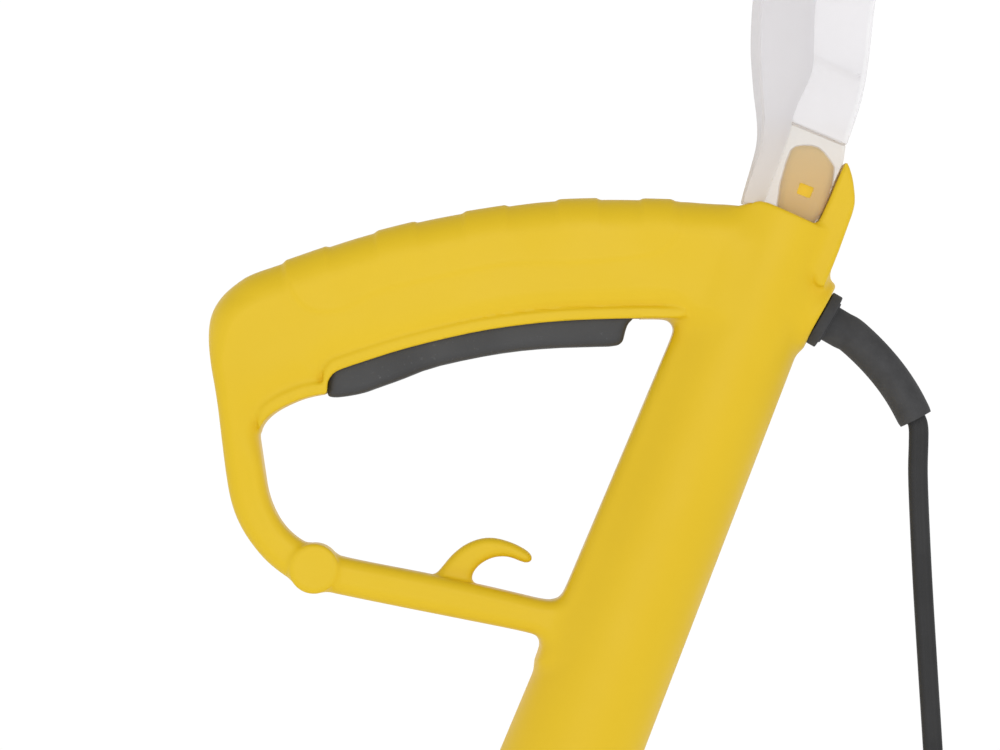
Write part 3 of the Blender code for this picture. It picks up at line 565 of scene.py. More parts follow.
def metal(name, colour, rough, stretch=(1, 1, 1), scratch=0.2):
    m = Nodes(name, colour, rough, 1.0)
    darker = tuple(c * 0.72 for c in colour)
    m.colour(m.ramp(m.noise(50, 5, 0.6), 0.35, 0.75), colour, darker)
    m.roughness(m.noise(300, 4, 0.6, stretch), rough - 0.08, rough + 0.14)
    m.bump(m.noise(900, 3, 0.6, stretch), scratch, 0.03)
    return m.material


def banded(name, colour, dark, rough, scale, direction, metallic=1.0):
    m = Nodes(name, colour, rough, metallic)
    bands = m.waves(scale, direction)
    m.colour(m.ramp(bands, 0.0, 0.35, 1, 0), colour, dark)
    m.roughness(m.noise(120, 4), rough - 0.06, rough + 0.1)
    m.bump(bands, 0.8, 0.25)
    return m.material


YELLOW = yellow_plastic("yellow_plastic", (0.82, 0.555, 0.015), (0.79, 0.525, 0.011))
# Painted light: a brighter, more saturated copy of the yellow plastic for the tab inside the sleeve, making
# up for the shade that the translucent sleeve casts on it.
TONGUE_YELLOW_PAINTED_LIGHT = yellow_plastic("tongue_yellow_painted_light", (0.99, 0.66, 0.03), (0.96, 0.63, 0.025))
CHARCOAL = dark_plastic("charcoal_plastic", (0.040, 0.040, 0.041), 0.46, 0.3)
BLACK = dark_plastic("black_plastic", (0.022, 0.022, 0.024), 0.48, 0.18, 0.09)
RUBBER = rubber_like("black_rubber", (0.043, 0.043, 0.045), 0.68)
SHEATH = rubber_like("cord_sheath", (0.021, 0.021, 0.022), 0.5, 0.08)
NATURAL = natural_plastic("natural_plastic", (0.97, 0.955, 0.975), (0.95, 0.90, 0.84), 0.5)
# Painted shade: a darker copy of the natural plastic for the trough's wings, which face away from the light.
NATURAL_WING_PAINTED_SHADE = natural_plastic("wing_plastic_painted_shade", (0.84, 0.82, 0.84), (0.83, 0.73, 0.61), 0.6)
# Painted shade and painted glow: a darker, yellow-tinted copy of the natural plastic for the socket, standing
# in for the shade of its double wall and the light of the yellow tab inside.
SLEEVE_PAINTED_SHADE_AND_GLOW = natural_plastic("sleeve_plastic_painted_shade_and_glow", (0.68, 0.63, 0.57), (0.82, 0.62, 0.40), 0.30)
STEEL = metal("plated_steel", (0.62, 0.62, 0.63), 0.3)
BRIGHT = metal("bearing_steel", (0.72, 0.72, 0.74), 0.2, (1, 1, 6), 0.1)
SPRING = metal("spring_wire", (0.5, 0.5, 0.52), 0.28)
BLADE = metal("ground_blade", (0.66, 0.66, 0.68), 0.26, (8, 8, 1), 0.5)
BRASS = metal("stamped_brass", (0.76, 0.56, 0.24), 0.28)
CARBON = dark_plastic("pressed_carbon", (0.03, 0.03, 0.032), 0.62, 0.4, 0.12)
LAMINATED = banded("laminations", (0.34, 0.34, 0.36), (0.08, 0.08, 0.085), 0.42, 320, "Z")
WOUND = banded("enamelled_winding", (0.62, 0.24, 0.08), (0.2, 0.06, 0.02), 0.32, 260, "Z")
COMMUTATOR = banded("commutator_bars", (0.78, 0.42, 0.24), (0.1, 0.06, 0.04), 0.3, 90, "X")
LINE = dark_plastic("nylon_line", (0.72, 0.17, 0.03), 0.34, 0.05, 0.03)
LINE_WOUND = banded("wound_line", (0.72, 0.17, 0.03), (0.28, 0.05, 0.01), 0.36, 230, "Z", 0.0)


# ---- the handle's outlines, in mm about its reference point ----------------------------------------------
OUTER = [
    (88, 40), (84, 52), (78.3, 56.8), (66, 57.3), (52, 57.9), (34.3, 58.2), (16, 57.6), (4, 56.1),
    (-13.3, 53.4),
    (-26.1, 50.9), (-43, 46.7), (-55.3, 42.9), (-73.3, 36.6), (-83, 33.4), (-87.6, 30.4), (-92.5, 26.2),
    (-95.9, 20.6), (-96.9, 14), (-96.2, 5), (-93.8, -8.1), (-92.3, -21.7), (-90.6, -35.9), (-88.8, -44.4),
    (-85.3, -52.1), (-80.1, -59.2), (-75.7, -63.6), (-69, -68.4), (-58, -71.9), (-50, -73.6), (-33.3, -77),
    (-10, -81.6), (8, -85.2), (12.6, -86.6), (14.6, -89), (14.2, -92.5), (13, -96), (36, -96), (52, -55),
]
SKIRT = [
    (-57.3, -5.6), (-57.2, -4), (-57.0, -1.8), (-54.9, 1), (-51.1, 2.5), (-43.5, 5), (-33.3, 8.3),
    (-20, 11.7),
    (-6.7, 14.6), (5.2, 16.4), (17.1, 17.7), (29, 18.4), (40, 18.7), (50, 18.9),
]
LOOP_FRONT = [
    (-79.5, -24), (-80.2, -19.5), (-79, -16.2), (-76, -13.1), (-72.4, -10.8), (-68.3, -8.9), (-64.6, -7.5),
    (-60.5, -6.6), (-58.4, -6.3), (-57.6, -6.2),
]
OPENING = [
    *SKIRT, (54.6, 18.8), (56.7, 17.9), (58.0, 16.2), (58.0, 14), (55.7, 8.3), (48.7, -8.3), (38.2, -33.3),
    (27.6, -58.3), (23.6, -67.7), (21.9, -71.6), (20.4, -74), (18.4, -75.1), (14, -74.8), (7, -73.1),
    (-7, -69.8),
    (-21.5, -66.7), (-35, -64.1), (-49, -61.4), (-56, -59.6), (-61.5, -57.6), (-66.6, -54.9),
    (-70.6, -51.6),
    (-74.1, -46.9), (-77.1, -39.9), (-78.5, -31), *LOOP_FRONT,
]
GRIP_AREA = [
    (94, 24), (94, 68), (40, 70), (-10, 64), (-50, 58), (-90, 50), (-112, 40), (-112, -80),
    (-86, -80), (-73, -30),
    *[(u + 1.0, w - 1.0) for u, w in LOOP_FRONT], *SKIRT[1:], (80, 16),
]
STRIP_EDGE = [*LOOP_FRONT[1:], *SKIRT]
SKIRT_STRIP = [
    *STRIP_EDGE, (62, 18.8), (61, 22.3), *[(u - 1.4, w + 3.7) for u, w in STRIP_EDGE[:0:-1] if u > -80],
]
PANEL = [
    (-72.5, 39), (-70.5, 32), (-68.2, 26), (-63.3, 21.3), (-56.7, 20.7), (-51, 21.9), (-41.7, 27.4),
    (-27.2, 30.9),
    (-12.7, 34), (1.7, 36.8), (13.7, 37.2), (24.3, 36.9), (50.2, 39.2), (56.5, 42.7), (60.3, 49),
    (59.4, 57), (59, 72), (-74, 72),
]
PADS = [(-71.7, -57.3), (-41.3, -28.0), (-12.0, 2.3), (19.0, 32.7), (47.0, 57.7)]
HOOK = [
    (-24, -72), (-22.4, -67.5), (-19.3, -64), (-16.2, -60.1), (-12, -56.6), (-7, -54.5),
    (-2.2, -54.1), (3.5, -55.6),
    (8.2, -57.9), (10.6, -60), (10.6, -61.9), (9.0, -62.6), (7, -62.1), (4, -60.8), (1.1, -60.3),
    (-2.5, -60.7),
    (-6.3, -62.6), (-8.8, -65.3), (-9.5, -68), (-8.2, -73),
]
TONGUE_BACK = [
    (101, 42), (104.4, 49.2), (106.4, 52.3), (109.3, 58.4), (112, 64.9), (114.7, 70.9), (115.2, 70.3),
    (116.2, 68), (117.2, 64),
    (117.8, 58), (117.2, 54.5), (115.2, 49), (111.4, 38.5), (106, 26),
]
SLEEVE = [
    (85.9, 55.6), (90.5, 67), (96.5, 84.2), (114.7, 76.3), (114.0, 70.9), (111.15, 63.1),
    (106.55, 52.6), (104.1, 47.2),
]
SLEEVE_HALF = 12.4
TONGUE = [(92.6, 44), (92.6, 60), (96.8, 75), (99, 76.2), (105, 76.2), (108.5, 73), (111.8, 67.6),
          (106, 50)]
SLOT = [
    (-57.8, -14), (-57.8, -3), (-57.8, 15), (-52, 26), (-30, 34), (20, 38), (46.2, 38), (46.2, 10), (0, -6),
]
TRIGGER = [
    (-57.3, -3), (-57.3, -6.6), (-56.4, -7.4), (-53, -7.5), (-45.6, -6.2), (-40.5, -4.3),
    (-33.3, -1.8), (-23.5, 2.2), (-9.1, 5.5), (4, 7.7),
    (17.1, 8.9), (30, 9.3), (38.6, 9.5), (40.6, 10.8), (41.1, 12.4), (41.7, 15), (42.6, 17.2), (44.4, 18.7),
    (44.2, 23.6), (30, 26), (-5, 24), (-40, 19.4), (-53.5, 16), (-56.6, 4),
]
LOOP_HALF, GRIP_HALF, SKIRT_HALF, SLOT_HALF, TRIGGER_HALF = 12.0, 17.0, 16.0, 13.6, 13.2
LOOP_EDGE, GRIP_EDGE = 4.2, 11.0
STUB_HALF = 14.3  # reach of the trigger's pivot stubs
STRIP_DIP = 1.5  # depth of the hollow that sets off the strip above the trigger
SHOULDER_U = (56, 63.3, 66.7, 72, 79.3, 83, 86, 89, 104.3, 120)  # the casing's top beside the forearm rest
SHOULDER_W = (61, 58.3, 57.6, 57.1, 56.2, 57.2, 57.8, 57.4, 50.2, 43)
CORNER_BOSS = (-61.8, -64.3)
SHELL_SCREWS = [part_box(f"handle_screw_{i}") for i in range(1, 6)]
LOWER_SCREWS = [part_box(f"housing_screw_{i}") for i in range(1, 5)]


def screw_place(box):
    """A screw's X and Z (mm), the Y of its head's top, and of its head's underside."""
    low, high = box
    return (low[0] + high[0]) / 2 / MM, (low[2] + high[2]) / 2 / MM, high[1] / MM


def screw_rooms(value, x, y, z, boxes):
    for box in boxes:
        sx, sz, top = screw_place(box)
        radial = np.hypot(x - sx, z - sz)
        value = blend_cut(value, round_bar(y, radial, top - 2.3, top + 40, 4.1, 0.3), 0.6)
    return value


def inner_bosses(x, y, z, boxes):
    """Tubular bosses that the screws run in, from wall to wall inside the casing."""
    value = 1e3
    for box in boxes:
        sx, sz, top = screw_place(box)
        radial = np.hypot(x - sx, z - sz)
        value = np.minimum(value, round_bar(y, radial, -top, top - 2.5, 4.4, 0.2))
    return value


def screw_bores(value, x, y, z, boxes):
    for box in boxes:
        sx, sz, top = screw_place(box)
        radial = np.hypot(x - sx, z - sz)
        value = np.maximum(value, -round_bar(y, radial, -9.5, top, 2.0, 0.1))
    return value


def make_handle_field():
    outer, opening = Outline(chaikin(OUTER)), Outline(chaikin(OPENING))
    grip, strip = Outline(chaikin(GRIP_AREA)), Outline(chaikin(SKIRT_STRIP, 1))
    panel, hook = Outline(chaikin(PANEL)), Outline(chaikin(HOOK))
    back, slot, sleeve = Outline(chaikin(TONGUE_BACK, 1)), Outline(chaikin(SLOT, 1)), Outline(SLEEVE)

    def body(x, y, z):
        u, w = x - GRIP_X, z - GRIP_Z
        along, _ = tube_place(x, z)
        fade = np.clip((w + 50) / 45, 0, 1)
        fade = fade * fade * (3 - 2 * fade)
        held = rise(grip(u, w), 12.0) * fade
        high = np.clip((w - 4) / 22, 0, 1)
        dip = STRIP_DIP * fade * (1 - high) * np.exp(-(np.maximum(strip(u, w), 0) / 6) ** 2)
        under_hand = held * rise(panel(u, w), 1.3)
        near_top = held * np.clip(1 + outer(u, w) / 13, 0, 1)
        pads = 0
        for start, end in PADS:
            pads = pads + near_top * rise(np.maximum(start - u, u - end), 1.8)
        half = LOOP_HALF + (GRIP_HALF - LOOP_HALF) * held - dip
        edge = LOOP_EDGE + (GRIP_EDGE - LOOP_EDGE) * held * high
        flat = np.maximum(outer(u, w) - 0.15 * under_hand - 0.65 * pads, -opening(u, w))
        value = thick(flat, y, half + 0.3 * under_hand + 0.3 * pads - 0.4, edge)
        strip_half = LOOP_HALF + (SKIRT_HALF - LOOP_HALF) * fade
        value = blend_union(value, thick(strip(u, w), y, strip_half, 0.9), 1.6)
        tube = blend_cut(tube_field(x, y, z), TUBE_TOP - along, 1.6)
        value = blend_union(value, tube, 6.0)
        value = blend_cut(value, np.interp(u, SHOULDER_U, SHOULDER_W) - w, 1.2)
        value = np.maximum(value, -0.3 - opening(u, w))
        corner = np.hypot(u - CORNER_BOSS[0], w - CORNER_BOSS[1])
        value = blend_union(value, round_bar(y, corner, -LOOP_HALF - 0.9, LOOP_HALF + 0.9, 8.3, 1.4), 1.6)
        value = blend_union(value, thick(hook(u, w), y, 5.2, 2.6), 1.8)
        out, away = exit_place(x, z)
        boss = round_bar(out, np.hypot(away, y), -26, 0, 12.0, 1.2)
        value = blend_union(value, boss, 5.0)
        value = blend_union(value, thick(back(u, w), y, 14.0, 1.2), 2.0)
        return value

    def shell(x, y, z):
        u, w = x - GRIP_X, z - GRIP_Z
        solid = body(x, y, z)
        out, away = exit_place(x, z)
        value = np.maximum(solid, -(solid + WALL))
        value = np.minimum(value, np.maximum(inner_bosses(x, y, z, SHELL_SCREWS), solid + 0.5))
        value = np.maximum(value, -thick(sleeve(u, w) - 0.1, y, SLEEVE_HALF + 0.2, 1.0))
        value = np.maximum(value, -thick(slot(u, w), y, SLOT_HALF, 0.4))
        pocket = STUB_HALF + 0.3
        from_pivot = np.hypot(u - PIVOT_U, w - PIVOT_W)
        value = np.maximum(value, -round_bar(y, from_pivot, -pocket, pocket, 2.35, 0.2))
        value = np.maximum(value, -round_bar(out, np.hypot(away, y), -30, 6, 6.3, 0.2))
        value = np.maximum(value, -round_bar(out, np.hypot(away, y), 0.0, 9, 9.9, 0.2))
        value = screw_rooms(value, x, y, z, SHELL_SCREWS)
        return screw_bores(value, x, y, z, SHELL_SCREWS)

    return shell


def tube_plane(along, upper):
    """The plane across the tube where the two casings meet, as a cut that keeps the upper or lower side."""
    point = (TUBE_FOOT_X + along * math.sin(TUBE_LEAN), 0, TUBE_FOOT_Z + along * math.cos(TUBE_LEAN))
    normal = (math.sin(TUBE_LEAN), 0, math.cos(TUBE_LEAN))
    return point, tuple(-n for n in normal) if upper else normal


def handle_casing():
    field = make_handle_field()
    low, high = (GRIP_X - 101, -22.5, GRIP_Z - 254), (GRIP_X + 122, 22.5, GRIP_Z + 79)
    step = 0.85
    for side, name in ((-1, "left"), (1, "right")):
        planes = [tube_plane(TUBE_SPLIT + 0.25, True)]
        half = casing_half(f"handle_casing_{name}", field, low, high, step, side, planes, YELLOW)
        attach(half, "handle")
        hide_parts(f"handle_shell_{name}")


def rest_tongue():
    """The tab inside the forearm rest's sleeve."""
    outline = Outline(chaikin(TONGUE, 1))

    def field(x, y, z):
        return thick(outline(x - GRIP_X, z - GRIP_Z), y, 9.8, 2.2)

    low, high = (GRIP_X + 90, -12, GRIP_Z + 42), (GRIP_X + 114, 12, GRIP_Z + 78)
    mesh = surface_of("rest_tongue", field, low, high, 0.8)
    smooth(mesh, 42)
    # The tab takes the brightened yellow copy: painted light.
    made = add_object("rest_tongue", mesh, TONGUE_YELLOW_PAINTED_LIGHT)
    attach(made, "handle")


# ---- tube and motor housing ------------------------------------------------------------------------------
def make_lower_field():
    side = [(0, 207), (10, 206.4), (22, 199), (33, 180), (38.6, 155), (41, 120), (41.4, 96), (41, 50.3)]
    profile = Outline([*[(-r, z) for r, z in chaikin(side, 2, False)], *chaikin(side, 2, False)[::-1]])
    ears = [screw_place(box) for box in LOWER_SCREWS[2:]]

    def body(x, y, z):
        along, _ = tube_place(x, z)
        r = np.hypot(x, y)
        housing = profile(r, z)
        tube = np.maximum(tube_field(x, y, z), -10 - along)
        value = blend_union(housing, tube, 22.0)
        band = np.maximum(np.abs(z - 104) - 5.0, np.abs(r - 41.4) - 1.3)
        value = blend_union(value, band, 1.6)
        for sx, sz, _ in ears:
            ear = round_bar(y, np.hypot(x - sx, z - sz), -10.5, 10.5, 6.8, 1.4)
            value = blend_union(value, ear, 4.0)
        return value

    def shell(x, y, z):
        solid = body(x, y, z)
        value = np.maximum(solid, -(solid + WALL))
        value = np.maximum(value, -np.maximum(np.hypot(x, y) - 38.3, z - 110))
        value = np.minimum(value, np.maximum(inner_bosses(x, y, z, LOWER_SCREWS), solid + 0.5))
        turn = np.degrees(np.arctan2(np.abs(y), x)) - 90
        for i in range(-2, 3):
            away = np.hypot(x, y) * np.radians(turn - 17 * i)
            vent = np.hypot(away, np.maximum(np.abs(z - 78) - 6.5, 0)) - 1.9
            value = np.maximum(value, -np.maximum(vent, 20 - np.hypot(x, y)))
        for i in range(-3, 4):
            away = np.hypot(x, y) * np.radians(turn - 13 * i)
            vent = np.hypot(away, np.maximum(np.abs(z - 158 + 1.1 * abs(i)) - 9.0, 0)) - 1.5
            value = np.maximum(value, -np.maximum(vent, 20 - np.hypot(x, y)))
        value = screw_rooms(value, x, y, z, LOWER_SCREWS)
        return screw_bores(value, x, y, z, LOWER_SCREWS)

    return shell


def lower_casing():
    field = make_lower_field()
    low, high = (-56, -44.5, 46), (188, 44.5, 572)
    step = 1.4
    for side, name in ((-1, "left"), (1, "right")):
        planes = [tube_plane(TUBE_SPLIT - 0.25, False), ((0, 0, 50.4), (0, 0, -1))]
        half = casing_half(f"lower_casing_{name}", field, low, high, step, side, planes, YELLOW)
        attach(half, "handle")
        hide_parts(f"lower_shell_{name}")


# ---- trigger ---------------------------------------------------------------------------------------------
def trigger():
    outline = Outline(chaikin(TRIGGER, 1))

    def field(x, y, z):
        u, w = x - GRIP_X, z - GRIP_Z
        value = thick(outline(u, w), y, TRIGGER_HALF, 2.6)
        stub = round_bar(y, np.hypot(u - PIVOT_U, w - PIVOT_W), -STUB_HALF, STUB_HALF, 2.0, 0.3)
        return np.minimum(value, stub)

    low, high = (GRIP_X - 60, -17.5, GRIP_Z - 10), (GRIP_X + 48, 17.5, GRIP_Z + 29)
    mesh = surface_of("trigger_lever", field, low, high, 0.8)
    smooth(mesh, 42)
    made = add_object("trigger_lever", mesh, CHARCOAL)
    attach(made, "trigger")
    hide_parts("trigger")


# ---- forearm rest ----------------------------------------------------------------------------------------
REST_ROWS = [
    # left edge, fold and right edge about the handle's reference point; half widths at the edge and the fold
    ((80.5, 57.4), (87.4, 56.6), (104.6, 50), 13.4, 12.9),
    ((82.7, 64.7), (90.0, 64.8), (108.6, 58), 14.0, 12.9),
    ((85.1, 71.9), (92.6, 72.0), (111.6, 66), 15.5, 12.9),
    ((87.0, 78.2), (94.8, 78.3), (113.6, 72), 19, 12.9),
    ((87.0, 86.4), (96.2, 84.6), (114.3, 77.0), 24, 13.2),
    ((86.0, 93.8), (98.4, 90.6), (116.8, 84.0), 28, 14.0),
    ((85.6, 100.5), (100.9, 95.4), (119.0, 91.0), 31, 14.8),
    ((85.2, 107), (103.2, 100.8), (120.0, 96.0), 33.5, 15.6),
    ((85.2, 112), (103.4, 105.5), (120.5, 99.0), 34.5, 16.2),
    ((85.5, 120), (103.5, 113.4), (121.8, 108.5), 36, 17.0),
    ((86.3, 129), (103.8, 123.3), (122.9, 121), 36.8, 17.6),
    ((87.0, 142), (106.4, 141), (126.0, 140), 37.5, 18),
    ((89.2, 158), (110.6, 157.5), (130.2, 157), 37.5, 18),
    ((92.5, 172), (115, 172), (134.4, 172), 35, 17.5),
    ((97.6, 181), (119.5, 182.4), (138.0, 183.4), 29, 16),
]
SLEEVE_ROWS = 4  # rows beside the sleeve, which have wings only


def forearm_rest():
    """A moulded trough: a boxed spine, two wings that flare from its folds, a cross rib and a socket."""
    shape = bmesh.new()
    crease = shape.edges.layers.float.new("crease_edge")
    rows = []
    for left, fold, right, spread, deep in REST_ROWS:
        left, fold, right = (np.array(p, float) for p in (left, fold, right))
        half = [(right, (deep - 2.0) * t) for t in (0.0, 0.55, 0.86, 1.0)]
        for t in (0.12, 0.4, 0.7, 0.93, 1.0):
            half.append((right + (fold - right) * t, deep - 2.0 + 2.0 * math.sin(t * math.pi / 2)))
        for t in (0.08, 0.3, 0.55, 0.8, 0.95, 1.0):
            bulge = math.sin(math.pi * t) * 0.06 * (spread - deep)
            half.append((fold + (left - fold) * t, deep + (spread - deep) * t + bulge))
        row = [(p, -y) for p, y in half[:0:-1]] + half
        rows.append([shape.verts.new(((GRIP_X + p[0]) * MM, y * MM, (GRIP_Z + p[1]) * MM)) for p, y in row])
    last = len(rows[0]) - 1
    folds = (last // 2 - 8, last // 2 + 8)
    for i, (low, high) in enumerate(zip(rows, rows[1:])):
        for k in range(last):
            if i >= SLEEVE_ROWS or k < folds[0] or k >= folds[1]:
                face = shape.faces.new((low[k], low[k + 1], high[k + 1], high[k]))
                # The wings get the darker copy of the plastic (painted shade); the boxed spine keeps the
                # lighter one.
                face.material_index = 1 if k < folds[0] or k >= folds[1] else 0
        for k in (*folds, last // 2 - 3, last // 2 + 3):
            edge = shape.edges.get((low[k], high[k]))
            if edge is not None:
                edge[crease] = 0.55
    bmesh.ops.delete(shape, geom=[vert for vert in shape.verts if not vert.link_faces], context="VERTS")
    bmesh.ops.recalc_face_normals(shape, faces=shape.faces)
    mesh = bpy.data.meshes.new("forearm_rest_trough")
    shape.to_mesh(mesh)
    shape.free()
    trough = add_object("forearm_rest_trough", mesh, NATURAL)
    mesh.materials.append(NATURAL_WING_PAINTED_SHADE)
    curve = trough.modifiers.new("smooth", "SUBSURF")
    curve.levels = 2
    curve.render_levels = 2
    wall = trough.modifiers.new("wall", "SOLIDIFY")
    wall.thickness = 1.9 * MM
    wall.offset = 0.0
    edge = trough.modifiers.new("edge", "BEVEL")
    edge.width = 0.5 * MM
    edge.segments = 2
    edge.limit_method = "ANGLE"
    edge.angle_limit = math.radians(50)
    mesh.shade_smooth()

    sleeve = Outline(SLEEVE)
    core = Outline(chaikin(TONGUE, 1))
    back = Outline(chaikin(TONGUE_BACK, 1))

    def socket_field(x, y, z):
        u, w = x - GRIP_X, z - GRIP_Z
        value = thick(sleeve(u, w), y, SLEEVE_HALF, 1.2)
        value = np.maximum(value, -thick(core(u, w) - 0.35, y, 10.2, 0.8))
        value = np.maximum(value, -thick(back(u, w) - 0.12, y, 14.4, 0.5))
        lean = math.radians(-21)
        a = (u - 101.2) * math.cos(lean) + (w - 61.2) * math.sin(lean)
        b = -(u - 101.2) * math.sin(lean) + (w - 61.2) * math.cos(lean)
        window = np.maximum(np.abs(a) - 2.4, np.abs(b) - 1.9)
        return np.maximum(value, -np.maximum(window, np.abs(y) - 40))

    low, high = (GRIP_X + 82, -14.5, GRIP_Z + 43), (GRIP_X + 119, 14.5, GRIP_Z + 88)
    mesh = surface_of("forearm_rest_socket", socket_field, low, high, 0.7)
    smooth(mesh, 42)
    # The socket takes the darker, tinted copy of the plastic: painted shade and painted glow.
    socket = add_object("forearm_rest_socket", mesh, SLEEVE_PAINTED_SHADE_AND_GLOW)

    ribs = []
    for i, (start, end) in enumerate((((103.6, 105.9), (119.6, 98.9)), ((107.8, 146), (125.6, 139)))):
        points = []
        for u, w in (start, end):
            for y in (-15.5, 15.5):
                points.extend([(GRIP_X + u, y, GRIP_Z + w - 0.4), (GRIP_X + u, y, GRIP_Z + w + 0.4)])
        faces = [(0, 1, 3, 2), (4, 6, 7, 5), (0, 4, 5, 1), (2, 3, 7, 6), (0, 2, 6, 4), (1, 5, 7, 3)]
        rib_mesh = mesh_of(f"rest_rib_{i + 1}", points, faces)
        rib = add_object(f"forearm_rest_rib_{i + 1}", rib_mesh, NATURAL)
        soft = rib.modifiers.new("edge", "BEVEL")
        soft.width = 0.25 * MM
        soft.segments = 2
        ribs.append(rib)
    upper_rows = REST_ROWS[SLEEVE_ROWS:-1]
    fold_route = [(GRIP_X + row[1][0], GRIP_Z + row[1][1]) for row in upper_rows]
    depths = [row[4] for row in upper_rows]
    for side in (-1, 1):
        def bead_section(t, angle, side=side):
            deep = np.interp(t * (len(depths) - 1), range(len(depths)), depths)
            return 0.45 * math.cos(angle), side * (deep + 0.6) + 0.45 * math.sin(angle)

        name = f"forearm_rest_bead_{(side + 3) // 2}"
        ribs.append(sweep(name, catmull(fold_route, 3), bead_section, NATURAL))
    for piece in (trough, socket, *ribs):
        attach(piece, "handle")
    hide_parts("forearm_rest")


# ---- cord, boot and plug ---------------------------------------------------------------------------------
BOOT_ROUTE = [
    (109.6, 17.45), (113.8, 15), (117.3, 13), (124, 6.7), (130, -0.3), (134.7, -7.3), (138.6, -14.7),
]
CORD_ROUTE = [
    (138.9, -15.2), (139.5, -18), (139.5, -23), (139.3, -33), (139.9, -50), (141.0, -72), (142.7, -100),
    (144.4, -127), (146.0, -155), (147.2, -185), (147.8, -215), (148.0, -245), (148.0, -275), (148.0, -305),
    (148.0, -333),
]
CORD_WIDE, CORD_DEEP = 3.3, 2.4  # half width across the view, half depth


def world_route(points):
    return [(GRIP_X + u, GRIP_Z + w) for u, w in points]


def boot_section(t, angle):
    radius = 6.2 + (5.9 - 6.2) * t
    seam = 0.22 * math.exp(-((math.cos(angle) / 0.09) ** 2))
    lip = 0.25 * math.exp(-(((1 - t) / 0.02) ** 2))
    return (radius + seam - lip) * math.cos(angle), (radius + seam - lip) * math.sin(angle)


def cord_section(t, angle):
    waist = 1 - 0.10 * math.cos(angle * 2 + math.pi) * 0.5
    c, s = math.cos(angle), math.sin(angle)
    power = 2.5
    size = (abs(c) ** power + abs(s) ** power) ** (-1 / power)
    groove = 0.28 * math.exp(-((c / 0.16) ** 2))
    return CORD_WIDE * size * c, (CORD_DEEP * size * waist - groove) * s


def cord_group():
    boot_path = catmull(world_route(BOOT_ROUTE), 6)
    sleeve = sweep("boot_sleeve", boot_path, boot_section, RUBBER)
    flange_profile = rounded_profile(
        [(0, 4.6), (7.4, 4.6), (7.4, 4.0), (9.5, 4.0), (9.5, 0.35), (5.8, 0.35), (5.8, -12), (0, -12)],
        0.5, 3, False,
    )
    flange = lathe("boot_flange", flange_profile, RUBBER)
    turn = Matrix.Rotation(math.radians(90) + EXIT_DROP, 4, "Y")
    place = Matrix.Translation(Vector((BOSS_FACE[0], 0, BOSS_FACE[1])) * MM)
    flange.data.transform(place @ turn)
    for piece in (sleeve, flange):
        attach(piece, "handle")
    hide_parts("cord_boot")

    path = catmull(world_route([(136.9, -11.4), *CORD_ROUTE]), 6)
    cord = sweep("power_cord_sheath", path, cord_section, SHEATH)
    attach(cord, "handle")
    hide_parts("power_cord")
    plug = plug_pieces()


def plug_pieces():
    """A contour plug: a ribbed strain relief, a waisted grip and a flat-sided face with two pins."""
    low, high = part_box("plug_body")
    middle = (Vector(low) + Vector(high)) / 2
    cx, top, bottom = middle.x / MM, high[2] / MM, low[2] / MM

    def field(x, y, z):
        a, h = x - cx, top - z
        r = np.hypot(a, y)
        neck = 4.4 + 0.045 * h + 0.5 * np.cos(h * 2 * math.pi / 3.6) * rise(h - 22, 3)
        value = np.maximum(r - neck, h - 30)
        value = np.maximum(value, -h)
        body = np.hypot(a / 1.18, y) - np.interp(h, [24, 30, 38, 46, 60], [6.5, 9.6, 11.4, 12.6, 12.6])
        value = blend_union(value, np.maximum(np.maximum(body, 24 - h), h - 50), 3.0)
        face = np.maximum(r - 17.6, np.abs(y) - 12.9)
        face = np.maximum(face, np.maximum(46.5 - h, bottom - z))
        return blend_union(value, face, 2.5)

    mesh = surface_of("plug_moulding", field, (cx - 20, -15, bottom - 2), (cx + 20, 15, top + 2), 0.8)
    smooth(mesh, 42)
    plug = add_object("plug_moulding", mesh, BLACK)
    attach(plug, "handle")
    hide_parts("plug_body")
    pins = [frame["nodes"][f"plug_pin_{i}"] for i in (1, 2)]
    return [plug, *pins]


# ---- screws ----------------------------------------------------------------------------------------------
def screw_mesh(name, head, shank, length, height):
    """A pan-head screw with a cross recess, pointing down from its head's underside at height 0."""
    profile = rounded_profile(
        [(0, height), (head * 0.75, height * 0.95), (head, height * 0.4), (head, 0), (shank, 0),
         (shank, -length + 1.5),
         (0, -length)], 0.3, 2, False
    )
    made = lathe(name, profile, STEEL, 32)
    cross = []
    for turn in (0, math.pi / 2):
        low, high = (-head * 0.55, -0.45, height * 0.35), (head * 0.55, 0.45, height + 1)
        bar = box_piece("cross", low, high, STEEL, 0.05, Matrix.Rotation(turn, 4, "Z"))
        cross.append(bar)
    for bar in cross:
        cut = made.modifiers.new("recess", "BOOLEAN")
        cut.operation = "DIFFERENCE"
        cut.object = bar
    bpy.context.view_layer.update()
    result = bpy.data.meshes.new_from_object(made.evaluated_get(bpy.context.evaluated_depsgraph_get()))
    for obj in (made, *cross):
        bpy.data.objects.remove(obj, do_unlink=True)
    smooth(result, 35)
    return result


def screws():
    shared = {}
    rows = [*((f"handle_screw_{i}", SHELL_SCREWS[i - 1]) for i in range(1, 6)),
            *((f"housing_screw_{i}", LOWER_SCREWS[i - 1]) for i in range(1, 5))]
    for node, box in rows:
        x, z, top = screw_place(box)
        length = round(top - 2.2 - box[0][1] / MM, 1)
        if length not in shared:
            shared[length] = screw_mesh(f"screw_{length}", 3.4, 1.7, length, 2.2)
        made = bpy.data.objects.new(f"{node}_visible", shared[length].copy())
        bpy.context.scene.collection.objects.link(made)
        turn = Matrix.Rotation(math.radians(-90), 4, "X")
        spin = Matrix.Rotation(0.7 * len(node) + x, 4, "Z")
        made.data.transform(Matrix.Translation(Vector((x, top - 2.2, z)) * MM) @ turn @ spin)
        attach(made, "handle")
        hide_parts(node)


# ---- guard -----------------------------------------------------------------------------------------------
GUARD_HALF_SPREAD = 95.0


